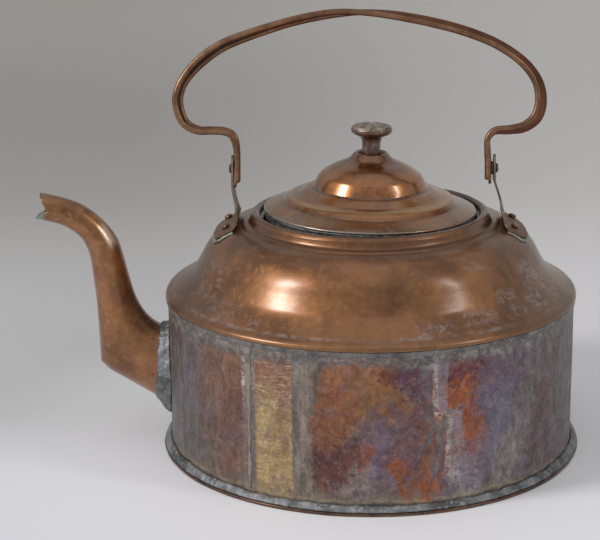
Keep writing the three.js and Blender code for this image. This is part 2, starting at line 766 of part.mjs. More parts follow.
const lid = new THREE.Group();
lid.position.z = LID_HEIGHT;
lid.rotation.y = degrees(LID_TILT);
vessel.add(lid);
for (const [name, geometry, material] of [
  ['lid_cover', lidCover(), lidCopper],
  ['lid_skirt', lidSkirt(), tinned],
  ['lid_seam_solder', lidSolder(), solder],
  ['lid_knob', lidKnob(), rivetCopper],
  ['knob_washer', knobWasher(), rivetCopper],
]) {
  add(lid, name, geometry.translate(0, 0, -LID_HEIGHT), material);
}

export default kettle;
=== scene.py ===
"""A tinned copper kettle with a gooseneck spout, a hinged bail handle and a lift-off lid."""

import math

import bmesh
import bpy
from mathutils import Matrix, Vector, noise


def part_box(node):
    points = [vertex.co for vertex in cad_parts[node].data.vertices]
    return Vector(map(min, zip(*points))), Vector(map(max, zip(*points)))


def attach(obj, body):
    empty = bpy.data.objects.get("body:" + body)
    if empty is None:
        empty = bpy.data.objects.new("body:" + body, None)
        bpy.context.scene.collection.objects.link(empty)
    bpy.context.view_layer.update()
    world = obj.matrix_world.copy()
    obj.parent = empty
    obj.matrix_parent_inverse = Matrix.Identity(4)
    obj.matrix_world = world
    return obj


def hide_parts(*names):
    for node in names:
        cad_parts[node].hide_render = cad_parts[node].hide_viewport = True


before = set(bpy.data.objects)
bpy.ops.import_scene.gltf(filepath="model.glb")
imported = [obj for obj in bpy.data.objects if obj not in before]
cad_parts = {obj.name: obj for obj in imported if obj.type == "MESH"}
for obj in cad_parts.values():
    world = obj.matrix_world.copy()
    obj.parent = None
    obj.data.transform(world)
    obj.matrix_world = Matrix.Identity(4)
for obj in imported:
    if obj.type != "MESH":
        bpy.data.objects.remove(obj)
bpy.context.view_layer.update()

# ---------- sizes of the CAD part, in millimetres ----------

MM = 0.001
BASE_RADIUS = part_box("base_plate")[1].x / MM
WALL_RADIUS = 142.5
DATUM = 2.3  # level over the floor that all heights above the base plate start from
WALL_TOP = 108.8
SHEET = 1.2
GAP = 0.3
LEDGE_HEIGHT = 161.8
MOUTH_RADIUS = 73.8
LIP_BOTTOM = 107.9
LID_RADIUS = 74
LID_HEIGHT = 167
LID_TILT = 1.4
SKIRT_RADIUS = 72.2
PIVOT_HEIGHT = 195
HANDLE_LEAN = 13
STRAP_WIDTH = 18
STRAP_END_WIDTH = 13
STRAP_DEPTH = 4.2
WEB = 1.3
LEFT_LEG = -92.2
RIGHT_LEG = 81.7
LUG_SHEET = 1.5
LUG_HALF_WIDTH = 6.5
LUG_TOP = 204.5
LEFT_LUG = -95.25
RIGHT_LUG = 86.15
LUG_FOLD = 159.6
FOOT_HALF_WIDTH = 26
FOOT_OUTER_RADIUS = 107.5
FOOT_RIVET_RADIUS = 100
FOOT_RIVET_SIDE = 14
RIVET_SHANK = 2.0

LARGE_ROUND = 384  # facets round the vessel
MEDIUM_ROUND = 256
SMALL_ROUND = 48

# ---------- lines and shapes ----------


def spline(points, per_span):
    """A smooth line through points of any dimension, per_span steps between each two."""
    points = [Vector(p) for p in points]
    line = []
    for i in range(len(points) - 1):
        a = points[max(i - 1, 0)]
        b, c = points[i], points[i + 1]
        d = points[min(i + 2, len(points) - 1)]
        for step in range(per_span):
            t = step / per_span
            line.append(
                0.5
                * (
                    2 * b
                    + (c - a) * t
                    + (2 * a - 5 * b + 4 * c - d) * t**2
                    + (3 * b - a - 3 * c + d) * t**3
                )
            )
    line.append(points[-1])
    return line


def filleted(points, radius, steps=4, closed=True):
    """Rounds each real corner of a flat line with an arc-like curve."""
    points = [Vector(p) for p in points]
    count = len(points)
    line = []
    for i, corner in enumerate(points):
        if not closed and i in (0, count - 1):
            line.append(corner)
            continue
        before = points[i - 1] - corner
        after = points[(i + 1) % count] - corner
        turn = math.pi - before.angle(after)
        if turn < math.radians(18):
            line.append(corner)
            continue
        reach = radius * math.tan(turn / 2)
        reach = min(reach, before.length * 0.45, after.length * 0.45)
        start = corner + before.normalized() * reach
        end = corner + after.normalized() * reach
        for step in range(steps + 1):
            t = step / steps
            line.append(start * (1 - t) ** 2 + corner * 2 * t * (1 - t) + end * t**2)
    return line


def offset_line(line, distance):
    """Moves a flat line sideways, to the left of its direction of travel."""
    moved = []
    for i, point in enumerate(line):
        along = direction_at(line, i)
        moved.append(Vector((point.x - along.y * distance, point.y + along.x * distance)))
    return moved


def sheet_profile(outer, thickness):
    """Closed profile of a sheet whose outer face follows a line."""
    return list(outer) + offset_line(outer, thickness)[::-1]


def turned(profile, segments, closed=True):
    """Turns a [radius, height] profile about Z. An open one starts and ends on the axis."""
    points, faces, rows = [], [], []
    for radius, height in profile:
        count = 1 if radius < 1e-6 else segments
        rows.append(range(len(points), len(points) + count))
        for i in range(count):
            angle = 2 * math.pi * i / segments
            points.append(Vector((radius * math.cos(angle), radius * math.sin(angle), height)))
    follow = rows[1:] + (rows[:1] if closed else [])
    for lower, upper in zip(rows, follow):
        for i in range(segments):
            j = (i + 1) % segments
            corners = [row[k % len(row)] for row, k in ((lower, i), (lower, j), (upper, j), (upper, i))]
            faces.append(list(dict.fromkeys(corners)))
    return points, faces


def skinned(rings, capped=True):
    """Skins equal rings of points. Without caps the last ring joins the first one."""
    count = len(rings[0])
    points = [point for ring in rings for point in ring]
    faces = []
    spans = len(rings) - 1 if capped else len(rings)
    for ring in range(spans):
        here, there = ring * count, (ring + 1) % len(rings) * count
        for i in range(count):
            j = (i + 1) % count
            faces.append([here + i, here + j, there + j, there + i])
    if capped:
        faces.append(list(range(count))[::-1])
        faces.append([len(points) - count + i for i in range(count)])
    return points, faces


def double_sheet(rows):
    """A closed sheet from rows of (upper point, lower point) pairs."""
    across = len(rows[0])
    upper = [pair[0] for row in rows for pair in row]
    lower = [pair[1] for row in rows for pair in row]
    under = len(upper)
    faces = []
    for row in range(len(rows) - 1):
        for column in range(across - 1):
            a = row * across + column
            quad = [a, a + 1, a + 1 + across, a + across]
            faces.append(quad)
            faces.append([under + i for i in quad[::-1]])
    last = (len(rows) - 1) * across
    border = list(range(across - 1))
    border += [row * across + across - 1 for row in range(len(rows) - 1)]
    border += [last + column for column in range(across - 1, 0, -1)]
    border += [row * across for row in range(len(rows) - 1, 0, -1)]
    for i, here in enumerate(border):
        there = border[(i + 1) % len(border)]
        faces.append([there, here, under + here, under + there])
    return upper + lower, faces


def lumps(point, size, seed=0.0):
    """A smooth random number from about -1 to 1 that changes over a distance of size."""
    return noise.noise(Vector(point) / size + Vector((seed, 1.7 * seed, -seed)))


def moved(shape, shift):
    """A shape with each point moved by what shift(point) gives."""
    points, faces = shape
    return [point + shift(point) for point in points], faces


def direction_at(line, i):
    """The direction of travel of a line at its point i."""
    return (line[min(i + 1, len(line) - 1)] - line[max(i - 1, 0)]).normalized()


def outward_at(point):
    """The level direction from the axis to a point."""
    return Vector((point.x, point.y, 0)).normalized()


def placed(shape, matrix):
    points, faces = shape
    return [matrix @ point for point in points], faces


def dented(amount, size, seed, centre_height=60):
    """A shift that pushes a sheet in and out along lines from a point on the axis."""

    def shift(point):
        outward = (point - Vector((0, 0, centre_height))).normalized()
        wave = lumps(outward * 120, size, seed) + 0.4 * lumps(outward * 120, size / 2.4, seed + 5)
        return outward * amount * wave

    return shift


def made_mesh(name, shape, sharp_angle=38):
    points, faces = shape
    mesh = bpy.data.meshes.new(name)
    mesh.from_pydata([(point + Vector((0, 0, DATUM))) * MM for point in points], [], faces)
    work = bmesh.new()
    work.from_mesh(mesh)
    bmesh.ops.recalc_face_normals(work, faces=work.faces)
    work.to_mesh(mesh)
    work.free()
    for polygon in mesh.polygons:
        polygon.use_smooth = True
    mesh.set_sharp_from_angle(angle=math.radians(sharp_angle))
    return mesh


def piece(node, shape, paint, sharp_angle=38, body="kettle_body"):
    """Shows a shape in place of a CAD node, riding on a body."""
    name = "visual_" + node
    obj = bpy.data.objects.new(name, made_mesh(name, shape, sharp_angle))
    obj.data.materials.append(paint)
    bpy.context.scene.collection.objects.link(obj)
    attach(obj, body)
    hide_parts(node)
    return obj


def apply_modifier(obj, kind, **settings):
    modifier = obj.modifiers.new(kind.lower(), kind)
    for key, value in settings.items():
        setattr(modifier, key, value)
    graph = bpy.context.evaluated_depsgraph_get()
    graph.update()
    mesh = bpy.data.meshes.new_from_object(obj.evaluated_get(graph))
    obj.modifiers.clear()
    mesh.name = obj.name
    obj.data = mesh


def cut_away(obj, shape):
    """Cuts a shape out of a piece."""
    cutter = bpy.data.objects.new("cutter", made_mesh("cutter", shape))
    bpy.context.scene.collection.objects.link(cutter)
    apply_modifier(obj, "BOOLEAN", operation="DIFFERENCE", solver="EXACT", object=cutter)
    bpy.data.objects.remove(cutter)


def softened(obj, width, segments=2, angle=45):
    """Rounds a piece's sharp edges over."""
    apply_modifier(
        obj,
        "BEVEL",
        width=width * MM,
        segments=segments,
        limit_method="ANGLE",
        angle_limit=math.radians(angle),
    )
    for polygon in obj.data.polygons:
        polygon.use_smooth = True


# ---------- procedural materials ----------


def tone(red, green, blue, gain=1.0):
    """A colour from usual 0 to 255 values, as the linear values that shaders use."""

    def linear(value):
        value /= 255
        return value / 12.92 if value <= 0.04045 else ((value + 0.055) / 1.055) ** 2.4

    return (*(min(linear(v) * gain, 1) for v in (red, green, blue)), 1)


class Paint:
    """Builds one material from noise, masks and mixes of colours."""

    def __init__(self, name, metallic=1.0, specular=0.5, coat=0.0, coat_roughness=0.3):
        self.material = bpy.data.materials.new(name)
        self.material.use_nodes = True
        self.tree = self.material.node_tree
        self.shader = self.tree.nodes["Principled BSDF"]
        self.shader.inputs["Metallic"].default_value = metallic
        self.shader.inputs["Specular IOR Level"].default_value = specular
        self.shader.inputs["Coat Weight"].default_value = coat
        self.shader.inputs["Coat Roughness"].default_value = coat_roughness
        self.place = self.tree.nodes.new("ShaderNodeTexCoord").outputs["Object"]
        self.color = self.roughness = self.normal = None

    def feed(self, socket, value):
        if isinstance(value, bpy.types.NodeSocket):
            self.tree.links.new(value, socket)
        else:
            socket.default_value = value

    def math(self, operation, *values, clamp=False):
        node = self.tree.nodes.new("ShaderNodeMath")
        node.operation = operation
        node.use_clamp = clamp
        for socket, value in zip(node.inputs, values):
            self.feed(socket, value)
        return node.outputs[0]

    def split(self):
        """The x, y and height over the datum of the shaded point, in millimetres."""
        node = self.tree.nodes.new("ShaderNodeSeparateXYZ")
        self.feed(node.inputs[0], self.place)
        x, y, height = [self.math("DIVIDE", output, MM) for output in node.outputs]
        return x, y, self.math("SUBTRACT", height, DATUM)

    def noise(self, size, detail=4.0, roughness=0.55, distortion=0.0, shift=0.0):
        """A random value from 0 to 1 with features of a size, or of a size on each axis."""
        sizes = size if isinstance(size, tuple) else (size,) * 3
        scaled = self.tree.nodes.new("ShaderNodeVectorMath")
        scaled.operation = "MULTIPLY_ADD"
        self.feed(scaled.inputs[0], self.place)
        scaled.inputs[1].default_value = [1 / (s * MM) for s in sizes]
        scaled.inputs[2].default_value = (shift, shift * 0.7, -shift * 1.3)
        return self.grain(scaled.outputs[0], detail, roughness, distortion)

    def grain(self, vector, detail, roughness, distortion):
        node = self.tree.nodes.new("ShaderNodeTexNoise")
        self.feed(node.inputs["Vector"], vector)
        node.inputs["Scale"].default_value = 1
        node.inputs["Detail"].default_value = detail
        node.inputs["Roughness"].default_value = roughness
        node.inputs["Distortion"].default_value = distortion
        return node.outputs["Fac"]

    def step(self, value, low, high, out_low=0.0, out_high=1.0):
        """Rises smoothly from out_low to out_high while value goes from low to high."""
        node = self.tree.nodes.new("ShaderNodeMapRange")
        node.interpolation_type = "SMOOTHSTEP"
        keys = ("Value", "From Min", "From Max", "To Min", "To Max")
        for key, level in zip(keys, (value, low, high, out_low, out_high)):
            self.feed(node.inputs[key], level)
        return node.outputs["Result"]

    def times(self, *factors):
        result = factors[0]
        for factor in factors[1:]:
            result = self.math("MULTIPLY", result, factor)
        return result

    def plus(self, first, second):
        return self.math("ADD", first, second)

    def minus(self, first, second):
        return self.math("SUBTRACT", first, second)

    def radius(self, x, y):
        """Distance from the kettle's axis."""
        return self.math("SQRT", self.plus(self.times(x, x), self.times(y, y)))

    def arc(self, x, y):
        """Distance along the wall from its front middle."""
        return self.times(self.math("ARCTAN2", x, self.times(y, -1)), WALL_RADIUS)

    def blend(self, factor, first, second, mode="MIX"):
        node = self.tree.nodes.new("ShaderNodeMix")
        node.data_type = "RGBA"
        node.blend_type = mode
        self.feed(node.inputs["Factor"], factor)
        self.feed(node.inputs[6], first)
        self.feed(node.inputs[7], second)
        return node.outputs[2]

    def band(self, value, middle, half, soft):
        """1 where value is within half of middle, falling to 0 over soft."""
        away = self.math("ABSOLUTE", self.math("SUBTRACT", value, middle))
        return self.step(away, half + soft, half)

    def bump(self, height, distance, normal=None):
        """Tilts the surface as a height from 0 to 1 that stands for a distance in mm."""
        node = self.tree.nodes.new("ShaderNodeBump")
        node.inputs["Strength"].default_value = 1
        node.inputs["Distance"].default_value = distance * MM
        self.feed(node.inputs["Height"], height)
        if normal:
            self.feed(node.inputs["Normal"], normal)
        return node.outputs[0]

    def scratches(self, sizes, low=0.62, high=0.72, shift=0.0):
        """Thin lines along the longest of the sizes."""
        return self.step(self.noise(sizes, 2, 0.5, 0.0, shift), low, high)

    def strokes(self, across, up, angle, length, width, low=0.64, high=0.74):
        """Short thin lines at an angle on a surface unrolled as across and up, in mm."""
        cosine, sine = math.cos(math.radians(angle)), math.sin(math.radians(angle))
        node = self.tree.nodes.new("ShaderNodeCombineXYZ")
        for socket, first, second in (
            (node.inputs[0], cosine / length, sine / length),
            (node.inputs[1], -sine / width, cosine / width),
        ):
            parts = self.math("MULTIPLY", across, first), self.math("MULTIPLY", up, second)
            self.feed(socket, self.math("ADD", *parts))
        node.inputs[2].default_value = angle
        return self.step(self.grain(node.outputs[0], 2, 0.5, 0.5), low, high)

    def tinted(self, color, mask, strength, shade):
        """The colour, moved towards a shade by a strength where the mask is 1."""
        return self.blend(self.times(mask, strength), color, tone(*shade))

    def cover(self, factor, color):
        """Lays a colour over the paint's own, as far as the factor goes."""
        self.color = self.blend(factor, self.color, color)

    def tint(self, mask, strength, shade):
        """Moves the paint's own colour towards a shade."""
        self.color = self.tinted(self.color, mask, strength, shade)

    def speckle(self, low, high, strength, shade):
        """Tints the paint in spots. The lower the first two values, the more there are."""
        self.tint(self.step(self.noise(5, 5, 0.66, 0.4, 14.0), low, high), strength, shade)

    def mottle(self, level):
        """Darkens the paint where the level is under a half and lightens it where it is over."""
        node = self.tree.nodes.new("ShaderNodeCombineColor")
        for socket in node.inputs:
            self.feed(socket, level)
        self.color = self.blend(1.0, self.color, node.outputs[0], "OVERLAY")

    def finish(self):
        self.feed(self.shader.inputs["Base Color"], self.color)
        self.feed(self.shader.inputs["Roughness"], self.roughness)
        if self.normal:
            self.feed(self.shader.inputs["Normal"], self.normal)
        return self.material


OLIVE = (142, 110, 56)  # thin oxide films that tint aged copper
ROSE = (150, 92, 74)


def aged_copper(
    name, dark, middle, bright, rough=0.33, wear=0.5, size=34, relief=0.08, coat=0.8,
    coat_roughness=0.26,
):
    """Brown copper with a mottled patina, specks, fine scratches and a planished surface."""
    paint = Paint(name, 0.85, coat=coat, coat_roughness=coat_roughness)
    wide = paint.noise(size, 5, 0.6, 0.4)
    close = paint.noise(size / 6, 6, 0.68, 0.4, 3.0)
    fine = paint.noise(0.9, 3, 0.6, 0.0, 7.0)
    paint.color = paint.blend(paint.step(wide, 0.34, 0.66), tone(*dark), tone(*middle))
    paint.tint(paint.step(close, 0.50, 0.72), 0.5, bright)
    paint.tint(paint.step(close, 0.46, 0.30), 0.45, dark)
    paint.cover(paint.step(fine, 0.60, 0.75, 0, 0.3), tone(*dark, 0.5))
    hue = paint.noise(size * 0.6, 5, 0.66, 0.8, 41.0)
    paint.tint(paint.step(hue, 0.56, 0.70), 0.35, OLIVE)
    paint.tint(paint.step(hue, 0.44, 0.32), 0.35, ROSE)
    hairs = paint.scratches((16, 0.5, 16), 0.60, 0.74, 2.0)
    more_hairs = paint.scratches((0.5, 14, 9), 0.62, 0.76, 4.0)
    lines = paint.math("MAXIMUM", hairs, more_hairs)
    lines = paint.times(lines, paint.step(paint.noise(19, 3, 0.6, 0.0, 5.0), 0.42, 0.62))
    paint.cover(paint.times(lines, wear * 0.5), tone(*bright, 1.25))
    paint.roughness = paint.math(
        "ADD",
        paint.step(close, 0.3, 0.7, rough - 0.05, rough + 0.08),
        paint.times(lines, 0.07),
    )
    height = paint.plus(paint.times(close, 0.8), paint.times(fine, 0.2))
    paint.normal = paint.bump(paint.noise(13, 2, 0.5, 0.0, 9.0), 0.18)
    paint.normal = paint.bump(height, relief, paint.normal)
    return paint


def dull_metal(name, dark, middle, pale, size=9, rough=0.5, relief=0.5, metallic=1.0):
    """Grey tin or solder: blotchy, pitted and dull, smooth in some places and rough in others."""
    paint = Paint(name, metallic)
    wide = paint.noise(size * 2.4, 5, 0.6, 0.5)
    close = paint.noise(size / 2, 6, 0.68, 0.3, 3.0)
    paint.color = paint.blend(paint.step(wide, 0.36, 0.60), tone(*dark), tone(*middle))
    paint.cover(paint.step(close, 0.52, 0.72), tone(*pale))
    pits = paint.step(paint.noise(1.6, 4, 0.6, 0.0, 6.0), 0.36, 0.26)
    paint.cover(paint.times(pits, 0.6), tone(*dark, 0.4))
    paint.roughness = paint.step(close, 0.3, 0.7, rough - 0.08, rough + 0.14)
    uneven = paint.step(paint.noise(32, 3, 0.6, 0.0, 9.0), 0.40, 0.62, 0.35, 1.0)
    paint.normal = paint.bump(paint.times(close, uneven), relief)
    paint.normal = paint.bump(paint.noise(1.2, 4, 0.6, 0.0, 8.0), relief * 0.25, paint.normal)
    return paint


def wall_paint():
    """The side wall: burnt oxide colours, tinned bands, brassy panel and filed lap joint."""
    paint = Paint("wall_copper", 0.8)
    x, y, height = paint.split()
    arc = paint.arc(x, y)
    wide = paint.noise((26, 26, 44), 5, 0.62, 0.6)
    upright = paint.noise((8, 8, 40), 6, 0.66, 0.5, 4.0)
    close = paint.noise(7, 8, 0.72, 0.8, 2.0)
    ragged = paint.noise(3, 6, 0.75, 0.6, 9.0)
    fine = paint.noise(1.1, 4, 0.62, 0.0, 5.0)

    def swayed(value, amount, small):
        """A coordinate whose edges wander."""
        for source, reach in ((wide, amount), (close, small), (ragged, small)):
            shift = paint.times(paint.minus(source, 0.5), reach)
            value = paint.plus(value, shift)
        return value

    across = swayed(arc, 55, 30)
    up = swayed(height, 70, 44)

    grey = paint.blend(paint.step(upright, 0.35, 0.65), tone(90, 84, 82), tone(118, 111, 108))
    grey = paint.blend(paint.step(wide, 0.45, 0.65), grey, tone(104, 98, 104))
    grey = paint.tinted(grey, paint.step(close, 0.55, 0.75), 0.6, (134, 128, 120))
    brown = paint.blend(paint.step(close, 0.35, 0.62), tone(98, 66, 52), tone(132, 92, 68))
    brown = paint.blend(paint.step(wide, 0.50, 0.64), brown, tone(104, 74, 72))

    # Patches as [middle, half width] along the wall, [middle, half height] up it, edge
    # softness, colour and strength.
    left_brown = paint.times(paint.band(across, -107, 19, 10), paint.band(up, 56, 52, 14))
    centre = paint.times(paint.band(across, 2, 36, 4), paint.band(up, 62, 46, 10))
    right_orange = paint.times(paint.band(across, 63, 11, 5), paint.band(up, 66, 34, 10))
    paint.color = grey
    for region, strength in ((left_brown, 0.4), (centre, 0.9), (right_orange, 0.9)):
        paint.cover(paint.times(region, strength), brown)
    for middle, half, level, tall, soft, shade, strength in (
        (-105, 13, 88, 16, 14, (128, 96, 74), 0.6),
        (-101, 9, 42, 30, 10, (116, 82, 66), 0.5),
        (-14, 16, 88, 12, 9, (146, 102, 72), 0.75),
        (16, 13, 90, 9, 9, (112, 68, 52), 0.7),
        (28, 7, 92, 10, 7, (88, 66, 84), 0.7),
        (-22, 9, 60, 22, 8, (134, 88, 62), 0.7),
        (6, 16, 66, 12, 12, (140, 102, 64), 0.6),
        (16, 12, 50, 12, 10, (96, 80, 96), 0.6),
        (-2, 9, 40, 12, 7, (112, 100, 112), 0.6),
        (-8, 10, 18, 6, 5, (138, 128, 126), 0.55),
        (8, 7, 22, 8, 5, (112, 100, 116), 0.6),
        (-10, 5, 33, 7, 2, (150, 86, 52), 0.8),
        (24, 6, 36, 7, 4, (150, 88, 54), 0.65),
        (-24, 12, 32, 8, 8, (88, 62, 60), 0.7),
        (42, 5, 17, 5, 4, (160, 88, 48), 0.75),
        (28, 8, 16, 5, 5, (140, 84, 56), 0.5),
        (60, 9, 94, 10, 7, (100, 58, 60), 0.8),
        (56, 7, 78, 11, 6, (148, 84, 48), 0.8),
        (66, 8, 52, 20, 6, (138, 80, 52), 0.75),
        (92, 14, 84, 15, 9, (100, 78, 94), 0.6),
        (88, 9, 52, 22, 9, (106, 106, 118), 0.6),
        (76, 10, 26, 9, 9, (112, 100, 114), 0.5),
        (97, 6, 24, 11, 6, (148, 142, 132), 0.55),
        (113, 6, 42, 14, 7, (128, 124, 122), 0.5),
        (134, 9, 46, 26, 8, (96, 76, 78), 0.55),
    ):
        mask = paint.times(paint.band(across, middle, half, soft), paint.band(up, level, tall, soft))
        paint.tint(mask, min(1, strength * 1.15), shade)

    # The filed panel beside the lap joint, pink at the top and yellow lower down.
    panel = paint.band(swayed(arc, 3, 2), -65, 13, 2)
    filed = paint.noise((9, 9, 0.7), 3, 0.6, 0.6, 6.0)
    yellow = paint.step(up, 84, 58)
    panel_color = paint.blend(yellow, tone(146, 106, 84), tone(166, 141, 98))
    panel_color = paint.tinted(panel_color, paint.step(filed, 0.52, 0.66), 0.8, (196, 172, 142))
    panel_color = paint.tinted(panel_color, paint.step(wide, 0.50, 0.66), 0.7, (128, 104, 82))
    paint.cover(panel, panel_color)

    # Rubbed patches of every size over all of it.
    for size, low, high, strength, shade in (
        (13, 0.52, 0.62, 0.42, (104, 92, 98)),
        (5, 0.52, 0.64, 0.48, (122, 112, 110)),
        (6.5, 0.54, 0.66, 0.30, (144, 94, 64)),
        (2.6, 0.57, 0.68, 0.50, (62, 50, 48)),
        (1.9, 0.60, 0.70, 0.45, (166, 154, 144)),
    ):
        rubbed = paint.step(paint.noise(size, 8, 0.72, 0.9, size * 3.1), low, high)
        paint.tint(rubbed, strength, shade)

    # Tinned stripe beside the panel, the joint's own stripe, and the pale crooked run.
    stripe = paint.band(swayed(arc, 12, 9), -43.5, 5, 2.5)
    stripe_color = paint.blend(paint.step(upright, 0.4, 0.6), tone(108, 98, 90), tone(144, 134, 120))
    paint.cover(paint.times(stripe, 0.8), stripe_color)
    joint = paint.band(swayed(arc, 3, 3), -83.5, 4.5, 2)
    joint = paint.times(joint, paint.step(close, 0.32, 0.50, 0.3, 1.0))
    paint.tint(joint, 0.8, (124, 112, 108))
    crusted = paint.times(joint, paint.step(up, 56, 84), paint.step(ragged, 0.46, 0.56))
    paint.tint(crusted, 0.8, (176, 168, 158))
    lean = paint.step(up, 76, 60, 0.0, 9.0)
    lower_lean = paint.step(up, 36, 12, 0.0, 10.0)
    run_line = paint.minus(swayed(arc, 5, 5), paint.plus(lean, lower_lean))
    spread = paint.step(up, 70, 10, 3.0, 8.5)
    halo = paint.band(paint.math("DIVIDE", paint.minus(run_line, 48), spread), 0, 1, 0.5)
    paint.tint(paint.times(halo, paint.step(close, 0.34, 0.56)), 0.75, (140, 132, 138))
    run = paint.times(paint.band(run_line, 43.5, 0.8, 1.8), paint.step(ragged, 0.40, 0.52))
    run_color = paint.blend(paint.step(close, 0.4, 0.6), tone(142, 132, 128), tone(190, 182, 170))
    paint.cover(paint.times(run, 0.8), run_color)

    # Tinned bands at the top and the bottom of the wall.
    top_band = paint.step(swayed(height, 14, 7), 94, 100)
    bottom_band = paint.step(swayed(height, 16, 12), 13, 6)
    tin = paint.blend(paint.step(close, 0.4, 0.66), tone(92, 90, 90), tone(140, 136, 130))
    low_tin = paint.blend(paint.step(close, 0.4, 0.66), tone(108, 96, 82), tone(160, 148, 128))
    paint.cover(paint.times(top_band, 0.8), tin)
    paint.cover(paint.times(bottom_band, 0.4), low_tin)

    # A pale crust and a dark line above the foot's solder.
    foot = swayed(height, 10, 7)
    paint.tint(paint.band(foot, 6, 0.5, 1.2), 0.4, (152, 140, 112))
    paint.tint(paint.step(height, 5.5, 3.5), 0.5, (44, 42, 40))

    # Painted shade: a dark upright streak down the wall at its right outline.
    paint.tint(paint.band(arc, 208, 6, 6), 0.6, (54, 50, 50))

    # Light and dark mottling, level brushing, short scratches every way and dark specks.
    mottle = paint.noise(12, 10, 0.80, 1.3, 17.0)
    smudge = paint.noise((4, 4, 6), 8, 0.74, 1.0, 27.0)
    for source, low, high in ((mottle, 0.42, 0.78), (smudge, 0.46, 0.66)):
        paint.mottle(paint.step(source, 0.34, 0.68, low, high))
    brushed = paint.noise((11, 11, 0.8), 4, 0.65, 0.6, 11.0)
    patchy = paint.step(paint.noise(22, 3, 0.6, 0.4, 31.0), 0.40, 0.62)
    brush_marks = paint.times(paint.step(brushed, 0.55, 0.72), patchy)
    paint.tint(brush_marks, 0.3, (178, 160, 144))
    scratched = None
    for angle, length, width in (
        (8, 11, 0.6), (-34, 9, 0.5), (52, 8, 0.55), (84, 16, 0.6), (-68, 12, 0.5)
    ):
        gate = paint.step(paint.noise(17, 3, 0.6, 0.0, angle * 0.37), 0.46, 0.60)
        line = paint.times(paint.strokes(arc, height, angle, length, width), gate)
        scratched = paint.math("MAXIMUM", scratched, line) if scratched else line
    paint.tint(scratched, 0.35, (188, 174, 158))
    paint.tint(paint.step(fine, 0.60, 0.72), 0.3, (46, 38, 38))

    rough = paint.step(close, 0.3, 0.7, 0.40, 0.58)
    paint.roughness = paint.minus(rough, paint.times(panel, 0.06))
    paint.normal = paint.bump(paint.noise((18, 18, 26), 2, 0.5, 0.0, 9.0), 0.30)
    scratch_height = paint.math(
        "ADD", paint.times(filed, panel), paint.times(brushed, 0.5)
    )
    paint.normal = paint.bump(scratch_height, 0.10, paint.normal)
    paint.normal = paint.bump(paint.plus(close, fine), 0.14, paint.normal)
    return paint.finish()


def shoulder_paint():
    paint = aged_copper(
        "shoulder_copper", (112, 70, 36), (148, 98, 56), (172, 120, 72), 0.40,
        relief=0.17, coat=0.9, coat_roughness=0.22,
    )
    x, y, height = paint.split()
    radius = paint.radius(x, y)
    close = paint.noise(7, 7, 0.72, 0.8, 2.0)
    oxide = paint.noise(20, 7, 0.70, 1.0, 12.0)
    gate = paint.noise(34, 3, 0.6, 0.4, 17.0)

    # A worn golden lip, lighter also as a painted highlight, a dusty crease above it and a dull mouth
    # ring.
    arc = paint.arc(x, y)
    paint.tint(paint.step(height, 112.5, 109), 0.4, (150, 112, 76))
    crease = paint.band(height, 113.6, 0.3, 0.9)
    dusty = paint.times(crease, paint.step(close, 0.42, 0.58), paint.step(gate, 0.40, 0.56))
    paint.tint(dusty, 0.5, (172, 160, 152))
    # Painted shade: the shoulder is darker towards its left and right flanks, broken up by oxide noise.
    painted_flank_shade = paint.times(
        paint.step(paint.math("ABSOLUTE", x), 88, 132), paint.step(oxide, 0.40, 0.56, 0.6, 1.0)
    )
    paint.tint(painted_flank_shade, 0.4, (72, 46, 28))
    ring = paint.step(height, 155.5, 158)
    paint.tint(ring, 0.4, (112, 74, 46))
    # Painted shade on the ring's inner edge, where it drops into the gap under the lid.
    paint.tint(paint.step(radius, 80.5, 78.5), 0.7, (66, 48, 38))

    # Pale oxide scuffs as [middle, half width] along the shoulder, [middle, half height] up it.
    streaks = paint.step(paint.noise((7, 7, 3.2), 10, 0.82, 0.5, 21.0), 0.47, 0.60)
    scuffs = paint.times(streaks, paint.step(oxide, 0.62, 0.72), 0.3)
    for middle, half, level, tall, soft, strength in (
        (46, 12, 117.5, 1.4, 2.5, 0.8), (28, 6, 114.6, 0.6, 1.2, 0.7), (84, 12, 120, 2, 3, 0.6),
        (118, 7, 124, 5, 4, 0.7), (146, 8, 121, 3, 4, 1.0), (160, 9, 131, 8, 5, 0.9),
        (178, 8, 124, 6, 5, 0.8),
        (-86, 3, 117, 1.0, 1.5, 0.9), (-122, 16, 118, 3, 4, 0.4), (-156, 12, 130, 8, 6, 0.5),
        (98, 8, 150, 3, 4, 0.5),
    ):
        patch = paint.times(
            paint.band(arc, middle, half, soft * 2), paint.band(height, level, tall, soft), strength
        )
        scuffs = paint.math("MAXIMUM", scuffs, paint.times(patch, streaks))
    paint.tint(scuffs, 0.85, (172, 160, 158))
    dull = paint.plus(paint.times(scuffs, 0.15), paint.times(dusty, 0.25))
    dull = paint.minus(dull, paint.times(ring, 0.04))
    paint.roughness = paint.plus(paint.roughness, dull)
    return paint.finish()


